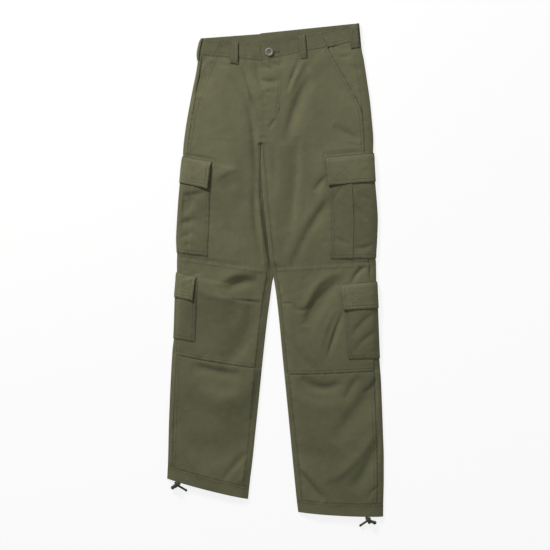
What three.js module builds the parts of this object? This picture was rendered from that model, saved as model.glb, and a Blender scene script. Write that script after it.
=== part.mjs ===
// Cargo trousers laid out on a flat surface: seat down, fly up, one leg drawn up a little.
// Millimetres, +Z up from the surface, +Y from the hems to the waist, +X to the wearer's left.
// The cloth is a thin wall all over. Each half of the garment is a flattened tube, and every
// sewn piece is a stretch of that tube's rings, so pieces that lie on a panel share its points.
import * as THREE from "three";

// Driving sizes
const CLOTH = 1.2; // one ply of twill with its pressed seams
const BAND = 2.0; // waistband and hem casing, which are folded double
const GAP = 0.3; // clearance between sewn pieces
const LEG_CLEARANCE = 0.6; // from the line between the thighs to either leg
const LOOP_PLY = 1.4; // belt loops
const LOOP_SLACK = 1.1; // how far a belt loop stands off the waistband
const POCKET_SLACK = 2.0; // how far a pocket bag stands off the leg in its middle
const FLAP_SLACK = 1.2; // how far a flap's free edge stands off its pocket
const CORD_RADIUS = 2.2; // drawcord in the hems
const KNOT_WIRE = 1.3; // half the thickness of a turn of the knot
const BUTTON_RADIUS = 9.5;

const PLY = CLOTH + GAP; // what one more layer adds

const table = (columns, ...rows) =>
  rows.map((row) => Object.fromEntries(columns.map((name, i) => [name, row[i]])));

// Outlines: x of the edge at height y, from the waist to the hem
const OUTLINE = {
  left: {
    outer: table(["y", "x"],
      [555.5, 188.5], [517.5, 192], [497.5, 194], [472.5, 199], [427.5, 206], [382.5, 212.5],
      [349, 216], [288, 220.5], [263.5, 220], [199.5, 223], [180, 224.5], [157.5, 226.5],
      [112.5, 229], [67.5, 227.5], [27, 225.5], [16, 226.5], [-27, 227], [-85.5, 229.5],
      [-198, 234], [-247.5, 237.5], [-292.5, 239.5], [-360, 242], [-427.5, 244],
      [-472.5, 244], [-517.5, 243], [-555, 242.5]),
    inner: table(["y", "x"],
      [533.5, -32.5], [510, -34], [470.5, -30.5], [427.5, -28], [382.5, -26], [326.5, -25],
      [288, -28.5], [247.5, -30], [225, -29.5], [191.5, -27], [157.5, -25], [119.5, -20.5],
      [90, -17.5], [63, -14.5], [34, -11.5], [11.5, -8], [-15.5, -4.5], [-45, 0],
      [-67.5, 3], [-112.5, 8], [-202.5, 16.5], [-292.5, 25.5], [-360, 32],
      [-427.5, 38.5], [-472.5, 43], [-517.5, 47.5], [-545, 51]),
  },
  right: {
    outer: table(["y", "x"],
      [522, -166.5], [504, -171.5], [490.5, -174], [472.5, -175], [450, -178], [405, -187],
      [360, -195.5], [315, -203], [270, -208], [254.5, -208.5], [225, -211.5], [196, -214],
      [157.5, -217.5], [112.5, -220.5], [67.5, -222.5], [38.5, -221.5], [18, -222],
      [-5.5, -222], [-58.5, -225.5], [-90, -226.5], [-153, -229], [-180, -232],
      [-247.5, -236], [-292.5, -238], [-360, -240.5], [-427.5, -242], [-470, -244]),
    inner: table(["y", "x"],
      [533.5, -32.5], [510, -34], [470.5, -30.5], [427.5, -28], [382.5, -26], [326.5, -25],
      [288, -28.5], [247.5, -30], [225, -29.5], [191.5, -27], [157.5, -25], [119.5, -20.5],
      [90, -17.5], [63, -14.5], [34, -11.5], [11.5, -8], [-15.5, -4.5], [-27, -7],
      [-45, -9.5], [-67.5, -12.5], [-112.5, -18.5], [-202.5, -28.5], [-292.5, -37.5],
      [-360, -44.5], [-427.5, -51.5], [-472.5, -57], [-515, -61.5]),
  },
};

// Sections across each half, from the waist down. A section runs from outerY on the outer edge
// to innerY on the fly or inseam, bowed up by bow in its middle. edge and loft are the height
// of its rounded edge and what its middle adds. frontU, insetU, pocketU and underU are shares
// of its width: where the front panel starts, how far the inseam lies inside the edge, where
// the leg pockets end on the front, and where they end on the underside.
const COLUMNS = ["name", "outerY", "innerY", "bow", "edge", "loft", "frontU", "insetU", "pocketU",
  "underU", "steps"];
const SECTIONS = {
  left: table(COLUMNS,
    ["bandTop", 555.5, 510, 0, 6.0, 0, 0.377, 0, 0.45, 0.4, 2],
    ["waistSeam", 516.5, 470.5, 0, 6.0, 0.2, 0.323, 0, 0.45, 0.4, 3],
    ["hip", 432, 400.5, 0, 5.6, 0.7, 0.187, 0, 0.43, 0.4, 3],
    ["slashEnd", 349, 333, 0, 5.4, 0.9, 0.07, 0, 0.42, 0.39, 2],
    ["riseEnd", 292.5, 290.5, 0, 5.2, 0.9, 0.07, 0, 0.415, 0.38, 1],
    ["legStart", 289.5, 285, 0, 5.2, 0.9, 0.07, 0.004, 0.415, 0.38, 1],
    ["flapTop", 263.5, 241, 0, 5.0, 0.9, 0.07, 0.02, 0.41, 0.38, 1],
    ["mouth", 252.5, 230, 0, 5.0, 1.0, 0.07, 0.025, 0.408, 0.38, 2],
    ["flapEnd", 199.5, 178, 0, 5.0, 1.0, 0.065, 0.03, 0.405, 0.38, 3],
    ["thigh", 112.5, 99, 0, 5.2, 1.0, 0.06, 0.03, 0.415, 0.38, 3],
    ["pocketEnd", 27, 24, 0, 5.0, 1.0, 0.06, 0.03, 0.428, 0.38, 1],
    ["kneeTop", 17, 3.5, 0, 5.0, 1.0, 0.06, 0.03, 0.42, 0.37, 2],
    ["lowFlapTop", -25.5, -42.5, 0, 5.0, 1.0, 0.055, 0.03, 0.345, 0.32, 1],
    ["lowMouth", -35.5, -51, 0, 5.0, 1.0, 0.052, 0.03, 0.343, 0.31, 2],
    ["lowFlapEnd", -85.5, -96.5, 0, 5.0, 1.0, 0.048, 0.03, 0.335, 0.31, 4],
    ["lowPocketEnd", -198, -203.5, 0, 5.0, 1.0, 0.05, 0.03, 0.32, 0.31, 1],
    ["kneeEnd", -227, -235, -2, 4.8, 1.0, 0.055, 0.033, 0.33, 0.32, 3],
    ["shin", -319.5, -324, -2, 4.8, 1.0, 0.06, 0.04, 0.36, 0.35, 3],
    ["calf", -416, -414, -2, 4.8, 1.0, 0.058, 0.05, 0.38, 0.37, 4],
    ["hemSeam", -525, -516, -3.5, 5.0, 1.6, 0.06, 0.052, 0.4, 0.4, 2],
    ["hem", -555, -545, -3, 5.0, 2.0, 0.06, 0.052, 0.4, 0.4, 0]),
  right: table(COLUMNS,
    ["bandTop", 522, 508.5, 0, 6.0, 0, 0.326, 0, 0.45, 0.55, 2],
    ["waistSeam", 484, 470.5, 0, 6.0, 0.2, 0.23, 0, 0.42, 0.55, 3],
    ["hip", 418.5, 400.5, 0, 5.6, 0.7, 0.114, 0, 0.39, 0.58, 3],
    ["slashEnd", 351, 333, 0, 5.4, 0.9, 0.045, 0, 0.375, 0.6, 2],
    ["riseEnd", 299.5, 290.5, 0, 5.2, 0.8, 0.045, 0, 0.365, 0.6, 1],
    ["legStart", 295, 285, 0, 5.0, 0.7, 0.045, 0.004, 0.365, 0.6, 1],
    ["flapTop", 255.5, 224, 0, 5.0, 0.7, 0.04, 0.02, 0.358, 0.6, 1],
    ["mouth", 245.5, 212, 0, 5.0, 0.8, 0.04, 0.03, 0.355, 0.6, 2],
    ["flapEnd", 196, 155.5, 0, 5.0, 0.8, 0.038, 0.045, 0.348, 0.6, 3],
    ["thigh", 115, 76.5, 0, 5.0, 0.8, 0.036, 0.055, 0.34, 0.6, 3],
    ["pocketEnd", 39.5, 13.5, 0, 4.8, 0.8, 0.035, 0.06, 0.317, 0.58, 1],
    ["kneeTop", 28.5, -2, 0, 4.8, 0.8, 0.035, 0.06, 0.31, 0.57, 2],
    ["lowFlapTop", -5, -47, 0, 4.8, 0.9, 0.035, 0.062, 0.212, 0.5, 1],
    ["lowMouth", -14.5, -56, 0, 4.8, 0.9, 0.035, 0.063, 0.215, 0.48, 2],
    ["lowFlapEnd", -61, -99, 0, 4.8, 1.0, 0.035, 0.065, 0.226, 0.48, 4],
    ["lowPocketEnd", -153, -186.5, 0, 4.8, 1.0, 0.036, 0.067, 0.23, 0.48, 1],
    ["kneeEnd", -189, -221.5, -3, 4.8, 1.0, 0.038, 0.067, 0.25, 0.48, 3],
    ["shin", -292.5, -326, -3, 4.8, 1.0, 0.04, 0.062, 0.3, 0.45, 3],
    ["calf", -378, -418.5, -3, 4.8, 1.0, 0.04, 0.06, 0.35, 0.42, 4],
    ["hemSeam", -439.5, -486, -3, 5.0, 1.6, 0.04, 0.07, 0.4, 0.4, 2],
    ["hem", -470, -515, -3, 5.0, 2.0, 0.04, 0.07, 0.4, 0.4, 0]),
};
const BACK_RISE = 23; // how much higher the back waist is cut than the front, at the middle

// The largest folds: a ridge (height over 0) or a trough along a curve through three points
const FOLDS = table(["x0", "y0", "x1", "y1", "x2", "y2", "halfWidth", "height"],
  [66, 462, 34, 400, 12, 318, 11, 2.6], // ridge from the left loop towards the crotch
  [80, 452, 48, 394, 24, 312, 9, -1.2],
  [-66, 456, -44, 400, -32, 340, 9, 2.0], // ridge beside the fly, right front
  [-74, 410, -62, 300, -44, 120, 12, -1.4], // long trough down the inside of the right thigh
  [34, 330, 42, 250, 30, 130, 16, -1.2], // broad trough in the left thigh
  [112, 200, 62, 110, 12, 10, 12, 3.0], // left thigh, from the flap to the inside of the knee
  [126, 188, 76, 96, 26, 2, 9, -1.2],
  [130, 330, 165, 305, 200, 296, 11, -1.2], // under the left hip pocket
  [152, -2, 96, -40, 66, -116, 12, 3.2], // left knee, across to the inseam
  [166, -16, 112, -54, 78, -124, 9, -1.2],
  [140, -98, 130, -150, 108, -206, 9, -1.2], // below the left lower flap
  [-124, -40, -84, -14, -44, -8, 11, -1.2], // over the right knee
  [-150, -40, -110, -62, -62, -44, 13, 2.4],
  [-58, -90, -76, -150, -122, -196, 12, -1.4],
  [-226, -190, -128, -300, -46, -242, 17, 2.6], // hanging curve in the right shin
  [62, -236, 112, -268, 150, -250, 12, -1.4], // under the left knee seam
  [40, -352, 128, -480, 214, -366, 16, -1.2], // hanging curve above the left hem
  [46, -440, 78, -492, 112, -516, 9, 1.6]);

const clamp = (x, low = 0, high = 1) => Math.min(high, Math.max(low, x));
const smooth = (x) => clamp(x) ** 2 * (3 - 2 * clamp(x));
const mix = (a, b, share) => a + (b - a) * share;

// Monotone cubic through (at[i], value[i]), with at rising
function curve(at, value) {
  const n = at.length;
  const slope = at.slice(1).map((x, i) => (value[i + 1] - value[i]) / (x - at[i]));
  const tangent = value.map((_, i) => {
    if (i === 0) return slope[0];
    if (i === n - 1) return slope[n - 2];
    const [before, after] = [slope[i - 1], slope[i]];
    return before * after <= 0 ? 0 : (2 * before * after) / (before + after);
  });
  return (x) => {
    let i = 0;
    while (i < n - 2 && x > at[i + 1]) i += 1;
    const width = at[i + 1] - at[i];
    const s = clamp((x - at[i]) / width);
    return (1 + 2 * s) * (1 - s) ** 2 * value[i] + s * (1 - s) ** 2 * width * tangent[i]
      + s * s * (3 - 2 * s) * value[i + 1] + s * s * (s - 1) * width * tangent[i + 1];
  };
}

function outlineCurve(rows) {
  const low = [...rows].reverse();
  return curve(low.map((row) => row.y), low.map((row) => row.x));
}

// One half of the garment: curves for its outline and for each column of its sections
function makeHalf(side) {
  const rows = SECTIONS[side];
  const half = {
    side,
    sign: side === "left" ? 1 : -1,
    outerX: outlineCurve(OUTLINE[side].outer),
    innerX: outlineCurve(OUTLINE[side].inner),
    at: Object.fromEntries(rows.map((row, i) => [row.name, i])),
    steps: rows.map((row) => row.steps),
  };
  for (const name of COLUMNS.slice(1, -1)) {
    half[name] = curve(rows.map((_, i) => i), rows.map((row) => row[name]));
  }
  return half;
}
const LEFT = makeHalf("left");
const RIGHT = makeHalf("right");

// Section numbers from one named section to another, with the steps between them
function stations(half, from, to) {
  const list = [];
  for (let i = half.at[from]; i < half.at[to]; i += 1) {
    for (let k = 0; k < half.steps[i]; k += 1) list.push(i + k / half.steps[i]);
  }
  return [...list, half.at[to]];
}

// Moves the first or last section in by half a seam gap
function trimmed(half, list, trimFirst, trimLast) {
  const out = [...list];
  const share = (a, b) => (GAP / 2) / Math.abs(half.outerY(b) - half.outerY(a)) * Math.abs(b - a);
  if (trimFirst) out[0] += share(list[0], list[1]);
  if (trimLast) out[out.length - 1] -= share(list.at(-2), list.at(-1));
  return out;
}

// How many layers of pocket and flap lie under a point of the underside, as a height
function underLift(half, t, u) {
  const near = 1 - smooth((u - half.underU(t) - 0.01) / 0.19);
  const between = (from, to) => {
    const before = smooth(1 + t - half.at[from]);
    const after = smooth(1 + (half.at[to] - t));
    return Math.min(before, after);
  };
  const flaps = Math.max(between("flapTop", "flapEnd"), between("lowFlapTop", "lowFlapEnd"));
  const bags = Math.max(between("mouth", "pocketEnd"), between("lowMouth", "lowPocketEnd"));
  const loops = 1 - smooth((t - half.at.waistSeam - 0.35) / 0.5);
  return PLY * (near * (flaps + bags) + loops);
}

// The left front laps over the right one along the fly, so its edge lies a ply higher
function flyLift(half, t, u) {
  if (half.side === "right") return 0;
  return PLY * smooth((u - 0.8) / 0.12) * (1 - smooth((t - half.at.slashEnd) / 0.9));
}

// Height that the folds give a point of the upper side
function foldHeight(x, y) {
  const STEPS = 10;
  let z = 0;
  for (const f of FOLDS) {
    const middleX = 2 * f.x1 - (f.x0 + f.x2) / 2;
    const middleY = 2 * f.y1 - (f.y0 + f.y2) / 2;
    let best = Infinity;
    let along = 0;
    for (let i = 0; i < STEPS; i += 1) {
      const point = (s) => [
        (1 - s) ** 2 * f.x0 + 2 * s * (1 - s) * middleX + s * s * f.x2,
        (1 - s) ** 2 * f.y0 + 2 * s * (1 - s) * middleY + s * s * f.y2,
      ];
      const [ax, ay] = point(i / STEPS);
      const [bx, by] = point((i + 1) / STEPS);
      const [dx, dy] = [bx - ax, by - ay];
      const share = clamp(((x - ax) * dx + (y - ay) * dy) / (dx * dx + dy * dy));
      const distance = Math.hypot(x - ax - share * dx, y - ay - share * dy);
      if (distance < best) {
        best = distance;
        along = (i + share) / STEPS;
      }
    }
    z += f.height * Math.exp(-((best / f.halfWidth) ** 2)) * Math.sin(Math.PI * (0.08 + 0.84 * along));
  }
  return z;
}

// The flat lines of a section: its two ends and the radius of the fold at each
function section(half, t, clearance) {
  const { sign } = half;
  const isLeg = t >= half.at.legStart;
  const [outerY, innerY] = [half.outerY(t), half.innerY(t)];
  const between = isLeg ? LEG_CLEARANCE : clearance;
  const outerX = half.outerX(outerY);
  const innerX = half.innerX(innerY) + sign * between;
  const edge = half.edge(t);
  const outerBottom = underLift(half, t, 0);
  const innerBottom = underLift(half, t, 1);
  const outerRadius = edge / 2;
  const innerRadius = isLeg ? edge / 2 : 0;
  return {
    isLeg, outerY, innerY, outerX, innerX, edge, outerBottom, innerBottom, outerRadius, innerRadius,
    startX: outerX - sign * outerRadius,
    endX: innerX + sign * innerRadius,
    width: Math.abs(outerX - innerX),
  };
}

// A point of the tube's skin, moved out by out. g goes round: 0 to 1 is the upper side from the
// outer edge to the inner, 1 to 2 the inner fold, 2 to 3 the underside, 3 to 4 the outer fold.
function skin(half, t, g, out, clearance = GAP / 2) {
  const s = section(half, t, clearance);
  const turn = ((g % 4) + 4) % 4;
  const { sign } = half;
  const flat = (u, isUnder) => {
    const rise = isUnder ? BACK_RISE * Math.max(0, half.at.waistSeam - t) * u : 0;
    const y = mix(s.outerY, s.innerY, u) + half.bow(t) * 4 * u * (1 - u) + rise;
    return [mix(s.startX, s.endX, u), y];
  };
  if (turn <= 1) {
    const [x, y] = flat(turn, false);
    const dome = half.loft(t) * (1 - (2 * turn - 1) ** 4);
    const calm = smooth(turn / 0.12) * (s.isLeg ? smooth((1 - turn) / 0.12) : 1)
      * smooth((t - half.at.waistSeam) / 0.5) * smooth((half.at.hemSeam - t) / 0.5);
    const bottom = underLift(half, t, turn);
    const lowest = bottom + 2 * CLOTH + 2 * GAP;
    const top = bottom + s.edge + dome + flyLift(half, t, turn) + calm * foldHeight(x, y);
    return new THREE.Vector3(x, y, Math.max(top, lowest) + out);
  }
  if (turn < 2) {
    const angle = (turn - 1) * Math.PI;
    const reach = s.innerRadius + out;
    return new THREE.Vector3(
      s.endX - sign * reach * Math.sin(angle), s.innerY,
      s.innerBottom + s.innerRadius + reach * Math.cos(angle));
  }
  if (turn <= 3) {
    const u = 3 - turn;
    const [x, y] = flat(u, true);
    return new THREE.Vector3(x, y, underLift(half, t, u) - out);
  }
  const angle = (4 - turn) * Math.PI;
  const reach = s.outerRadius + out;
  return new THREE.Vector3(
    s.startX + sign * reach * Math.sin(angle), s.outerY,
    s.outerBottom + s.outerRadius + reach * Math.cos(angle));
}

// Even steps from a to b, without b unless it is asked for
const spread = (a, b, n, withEnd = false) =>
  Array.from({ length: withEnd ? n + 1 : n }, (_, i) => mix(a, b, i / n));

const seamU = (half, t) => Math.min(half.frontU(t), half.side === "left" ? 0.07 : 0.045);

// Places round the ring for each piece at section t, always in the rising sense of g
function frontRing(half, t) {
  const s = section(half, t, 0);
  const gap = GAP / 2 / s.width;
  return [
    ...spread(half.frontU(t) + gap, half.pocketU(t), 4),
    ...spread(half.pocketU(t), s.isLeg ? 1 - half.insetU(t) - gap : 1, 7, true),
  ];
}

function backRing(half, t) {
  const s = section(half, t, 0);
  const gap = GAP / 2 / s.width;
  const lip = 0.4 / s.width; // above the crotch the inner lip lies flat in a narrow strip
  const LIP_STEPS = 4;
  const inner = s.isLeg
    ? [1 - half.insetU(t) + gap, ...spread(1, 2, LIP_STEPS - 1)]
    : spread(2, 2 + lip * LIP_STEPS, LIP_STEPS);
  return [
    ...inner,
    ...spread(s.isLeg ? 2 : 2 + lip * LIP_STEPS, 3 - half.underU(t), 3),
    ...spread(3 - half.underU(t), 3, 3),
    ...spread(3, 4, 4),
    4, 4 + seamU(half, t) - gap,
  ];
}

function pocketRing(half, t) {
  return [
    ...spread(-1 - half.underU(t), -1, 3),
    ...spread(-1, 0, 4),
    0,
    ...spread(half.frontU(t), half.pocketU(t), 4, true),
  ];
}

// A closed wall between two grids of points. A ring's last column joins its first.
function wall(outer, inner, isRing = false) {
  const rows = outer.length;
  const columns = outer[0].length;
  const points = [...outer.flat(), ...inner.flat()];
  const behind = rows * columns;
  const at = (i, j) => i * columns + (j % columns);
  const index = [];
  const quad = (a, b, c, d) => index.push(a, b, c, a, c, d);
  const spans = isRing ? columns : columns - 1;
  for (let i = 0; i < rows - 1; i += 1) {
    for (let j = 0; j < spans; j += 1) {
      const [a, b, c, d] = [at(i, j), at(i, j + 1), at(i + 1, j + 1), at(i + 1, j)];
      quad(a, b, c, d);
      index.push(behind + a, behind + c, behind + b, behind + a, behind + d, behind + c);
    }
  }
  for (let j = 0; j < spans; j += 1) {
    quad(at(0, j), behind + at(0, j), behind + at(0, j + 1), at(0, j + 1));
    const [c, d] = [at(rows - 1, j), at(rows - 1, j + 1)];
    quad(c, d, behind + d, behind + c);
  }
  for (let i = 0; i < rows - 1 && !isRing; i += 1) {
    quad(at(i, 0), at(i + 1, 0), behind + at(i + 1, 0), behind + at(i, 0));
    const [c, d] = [at(i, columns - 1), at(i + 1, columns - 1)];
    quad(c, behind + c, behind + d, d);
  }
  return closedGeometry(points, index);
}

// Turns every face out, whichever way round the grid was wound
function closedGeometry(points, index) {
  let volume = 0;
  for (let i = 0; i < index.length; i += 3) {
    const [a, b, c] = index.slice(i, i + 3).map((k) => points[k]);
    volume += a.dot(new THREE.Vector3().crossVectors(b, c));
  }
  if (volume < 0) {
    for (let i = 0; i < index.length; i += 3) [index[i], index[i + 1]] = [index[i + 1], index[i]];
  }
  const geometry = new THREE.BufferGeometry();
  const numbers = points.flatMap((p) => [p.x, p.y, p.z]);
  geometry.setAttribute("position", new THREE.Float32BufferAttribute(numbers, 3));
  geometry.setIndex(index);
  geometry.computeVertexNormals();
  return geometry;
}

// A wall over the sections in list, where ring gives its places and lift its offset from the skin
function clothWall(half, list, ring, lift, thickness, options = {}) {
  const { isRing = false, clearance = GAP / 2 } = options;
  const grid = (depth) => list.map((t) => {
    const places = ring(half, t);
    return places.map((g, j) => {
      const out = lift(t, g, j / (places.length - 1));
      return skin(half, t, g, out + depth, clearance);
    });
  });
  return wall(grid(thickness), grid(0), isRing);
}

const material = (color, roughness = 0.92, metalness = 0) =>
  new THREE.MeshStandardMaterial({ color, roughness, metalness });
const OLIVE = 0x64634b;
const OLIVE_DARK = 0x5b5a44;
const BAND_OLIVE = 0x605f48;
const CORD_GREEN = 0x2f3124;
const BUTTON_GREY = 0x8c8f7e;

const trousers = new THREE.Group();
function add(name, geometry, look) {
  const mesh = new THREE.Mesh(geometry, look);
  mesh.name = name;
  trousers.add(mesh);
  return mesh;
}

const onSkin = (thickness) => () => -thickness; // the wall's outer face is the skin itself
const share = (half, t, from, to) => (t - half.at[from]) / (half.at[to] - half.at[from]);

// Front and back of each leg, from the waist seam to the hem casing
function legPanels(half) {
  const list = trimmed(half, stations(half, "waistSeam", "hemSeam"), true, true);
  add(`front_${half.side}`, clothWall(half, list, frontRing, onSkin(CLOTH), CLOTH), material(OLIVE));
  add(`back_${half.side}`, clothWall(half, list, backRing, onSkin(CLOTH), CLOTH), material(OLIVE_DARK));
}

// The hem's casing: a doubled ring that holds the drawcord
function hemCasing(half) {
  const ring = (side, t) => [
    ...spread(0, 1, 10), ...spread(1, 2, 3), ...spread(2, 3, 6), ...spread(3, 4, 4)];
  const list = trimmed(half, stations(half, "hemSeam", "hem"), true, false);
  add(`hem_${half.side}`, clothWall(half, list, ring, onSkin(BAND), BAND, { isRing: true }),
    material(BAND_OLIVE));
}

// The slanted hip pocket's bearer: it shows beside the front panel's slanted edge and ends under it
function hipPocket(half) {
  const TUCK = 0.05;
  const DEPTH = PLY + 0.2; // below the outside of the front panel
  const ring = (side, t) => {
    const gap = GAP / 2 / section(half, t, 0).width;
    return spread(seamU(half, t) + gap, half.frontU(t) + TUCK, 4, true);
  };
  const list = trimmed(half, stations(half, "waistSeam", "slashEnd"), true, false);
  const lift = (t, g) => {
    const shown = half.frontU(t) - seamU(half, t);
    const nearness = shown < 1e-6 ? 1 : smooth((g - seamU(half, t)) / shown);
    return -mix(0.4, DEPTH, Math.max(nearness, 1 - shown / TUCK)) - CLOTH;
  };
  add(`hip_pocket_${half.side}`, clothWall(half, list, ring, lift, CLOTH), material(OLIVE_DARK));
}

// The second ply over each knee, on the front panel's own points
function kneePatch(half) {
  const list = stations(half, "kneeTop", "kneeEnd");
  add(`knee_patch_${half.side}`, clothWall(half, list, frontRing, () => GAP, CLOTH), material(OLIVE));
}

// How far a leg pocket's lift is held down: it clears the knee patch only on the front
const onFront = (half, t, g) => (g >= half.frontU(t) - 1e-6 ? 1 : clamp(g / half.frontU(t)));

function legPocket(half, name, mouth, end, below) {
  const list = stations(half, mouth, end);
  const lift = (t, g) => {
    const across = clamp(g / half.pocketU(t));
    const puff = POCKET_SLACK * Math.sin(Math.PI * across) * Math.sin(Math.PI * share(half, t, mouth, end));
    return GAP + below * onFront(half, t, g) + Math.max(0, puff);
  };
  add(`${name}_${half.side}`, clothWall(half, list, pocketRing, lift, CLOTH), material(OLIVE));
}

// A pocket flap, sewn on just above the pocket's mouth, its free edge standing off the pocket
function pocketFlap(half, name, top, mouth, end, below, overhang) {
  const list = stations(half, top, end);
  const ring = (side, t) => {
    const places = pocketRing(half, t);
    const down = share(half, t, top, end);
    const edge = mix(overhang.top, overhang.end, down);
    return places.map((g) => (g > half.frontU(t) ? g + edge * clamp((g - half.frontU(t))
      / (half.pocketU(t) - half.frontU(t))) : g));
  };
  const lift = (t, g) => {
    const overPocket = smooth(share(half, t, top, mouth));
    const upper = smooth((g + 0.3) / 0.5);
    const stand = FLAP_SLACK * smooth(share(half, t, top, end)) + POCKET_SLACK * 0.55;
    return GAP + below * onFront(half, t, g) + overPocket * (PLY + upper * stand);
  };
  add(`${name}_${half.side}`, clothWall(half, list, ring, lift, CLOTH), material(OLIVE));
}

// The waistband: a back stretch that wraps both sides up to the slanted pockets, and two fronts
function waistband() {
  const STEP_DOWN = 0.6; // the side ends lie this much lower than the fronts
  const rows = (half) => trimmed(half, stations(half, "bandTop", "waistSeam"), false, true);
  for (const half of [RIGHT, LEFT]) {
    const ring = (side, t) => {
      const gap = GAP / 2 / section(half, t, 0).width;
      return spread(half.frontU(t) + gap, 1, 8, true);
    };
    add(`waistband_front_${half.side}`, clothWall(half, rows(half), ring, onSkin(BAND), BAND),
      material(BAND_OLIVE));
  }
  const wrap = (half, t) => {
    const gap = GAP / 2 / section(half, t, 0).width;
    return [...spread(-2, -1, 6), ...spread(-1, 0, 4), ...spread(0, half.frontU(t) - gap, 3, true)];
  };
  const grid = (depth) => rows(LEFT).map((tLeft, i) => {
    const tRight = rows(RIGHT)[i];
    const line = (half, t) => wrap(half, t).map((g) => {
      const down = STEP_DOWN * smooth(g / (half.frontU(t) * 0.6));
      return skin(half, t, g, depth - down, 0);
    });
    const [left, right] = [line(LEFT, tLeft), line(RIGHT, tRight)];
    const middle = left[0].clone().add(right[0]).multiplyScalar(0.5);
    return [...right.slice(1).reverse(), middle, ...left.slice(1)];
  });
  add("waistband_back", wall(grid(0), grid(-BAND)), material(BAND_OLIVE));
}

// A belt loop: a strip over the waistband, sewn down at both ends and slack between them.
// firstG and lastG are its sides round the ring. Under the seat the strip lies flat.
function beltLoop(name, half, firstG, lastG, columns) {
  const BELOW = 0.22; // how far past the waist seam it reaches, in sections
  const rows = spread(0.02, 1 + BELOW, 7, true);
  const ring = () => spread(firstG, lastG, columns, true);
  const isUnder = firstG < -1;
  const slack = isUnder ? 0 : LOOP_SLACK;
  const lift = (t) => {
    const down = (t - rows[0]) / (rows.at(-1) - rows[0]);
    return GAP + slack * (0.15 + smooth(Math.min(down, 1 - down) * 5));
  };
  add(name, clothWall(half, rows, ring, lift, isUnder ? CLOTH : LOOP_PLY), material(BAND_OLIVE));
}

function button() {
  const spot = skin(LEFT, 0.5, 0.93, 0);
  const [rim, dish, height] = [BUTTON_RADIUS, BUTTON_RADIUS * 0.62, 2.6];
  const profile = [[0, 0], [rim * 0.9, 0], [rim, 0.5], [rim, height - 0.6], [rim * 0.94, height],
    [dish * 1.15, height], [dish, height - 0.8], [0, height - 0.8]];
  const geometry = new THREE.LatheGeometry(profile.map(([x, y]) => new THREE.Vector2(x, y)), 24);
  const mesh = add("button", geometry, material(BUTTON_GREY, 0.45, 0.4));
  mesh.rotation.x = Math.PI / 2;
  mesh.position.set(-14, 490, spot.z + GAP);
}

// A route through points chosen by hand, in millimetres
const route = (points) => new THREE.CatmullRomCurve3(points.map((p) => new THREE.Vector3(...p)));

function cordTube(path, steps) {
  const round = new THREE.Shape().absarc(0, 0, CORD_RADIUS, 0, 2 * Math.PI);
  return new THREE.ExtrudeGeometry(round, {
    steps, extrudePath: path, curveSegments: 8, bevelEnabled: false });
}

// The drawcord's two ends outside a hem: the long one through the knot, the short one beside it
function drawcord(side, longEnd, shortEnd, knotAt) {
  const path = route(longEnd);
  add(`hem_cord_${side}`, cordTube(path, 12), material(CORD_GREEN));
  add(`hem_cord_end_${side}`, cordTube(route(shortEnd), 5), material(CORD_GREEN));
  const knot = new THREE.TorusGeometry(CORD_RADIUS + GAP + KNOT_WIRE, KNOT_WIRE, 8, 16);
  const mesh = add(`hem_knot_${side}`, knot, material(CORD_GREEN));
  mesh.position.copy(path.getPointAt(knotAt));
  mesh.quaternion.setFromUnitVectors(new THREE.Vector3(0, 0, 1), path.getTangentAt(knotAt));
}

for (const half of [RIGHT, LEFT]) {
  legPanels(half);
  hemCasing(half);
  hipPocket(half);
  kneePatch(half);
  legPocket(half, "cargo_pocket", "mouth", "pocketEnd", 0);
  legPocket(half, "shin_pocket", "lowMouth", "lowPocketEnd", PLY);
}
pocketFlap(LEFT, "cargo_flap", "flapTop", "mouth", "flapEnd", 0, { top: 0.012, end: 0.016 });
pocketFlap(RIGHT, "cargo_flap", "flapTop", "mouth", "flapEnd", 0, { top: 0.005, end: -0.03 });
pocketFlap(LEFT, "shin_flap", "lowFlapTop", "lowMouth", "lowFlapEnd", PLY, { top: 0.005, end: 0.01 });
pocketFlap(RIGHT, "shin_flap", "lowFlapTop", "lowMouth", "lowFlapEnd", PLY, { top: 0, end: -0.045 });
waistband();
beltLoop("belt_loop_front_left", LEFT, 0.545, 0.61, 2);
beltLoop("belt_loop_side_left", LEFT, 0.005, 0.095, 2);
beltLoop("belt_loop_front_right", RIGHT, 0.495, 0.62, 2);
beltLoop("belt_loop_side_right", RIGHT, -0.5, 0, 2);
beltLoop("belt_loop_back", LEFT, -1.97, -1.9, 2);
button();
drawcord("right",
  [[-226.5, -477.2, 4.6], [-221.8, -482.8, 5.4], [-215.3, -487.2, 4.8], [-207.5, -491.9, 3.2],
    [-199, -497.2, 2.4]],
  [[-226.6, -485.6, 4.2], [-229.2, -487.6, 3.2], [-232.4, -490.4, 2.6]], 0.21);
drawcord("left",
  [[213.5, -557.2, 4.6], [209, -562.2, 5.4], [203, -566.8, 4.8], [196.3, -571.4, 3.2],
    [189, -576.6, 2.4]],
  [[213.4, -565, 4.4], [218.6, -566.9, 3.2], [225, -569, 2.5]], 0.21);

export default trousers;
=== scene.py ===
"""Cargo trousers laid out flat: the looks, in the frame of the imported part.

Lengths are millimetres until a mesh is made. Each half of the garment is a flattened tube, as in
the part's source, whose sizes and sections this script repeats. A place on a half is t, a section
number from the waist down, and g, which goes round: 0 to 1 is the upper side from the outer edge
to the inner one, 1 to 2 the inner fold, 2 to 3 the underside and 3 to 4 the outer fold.
"""
import math

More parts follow.
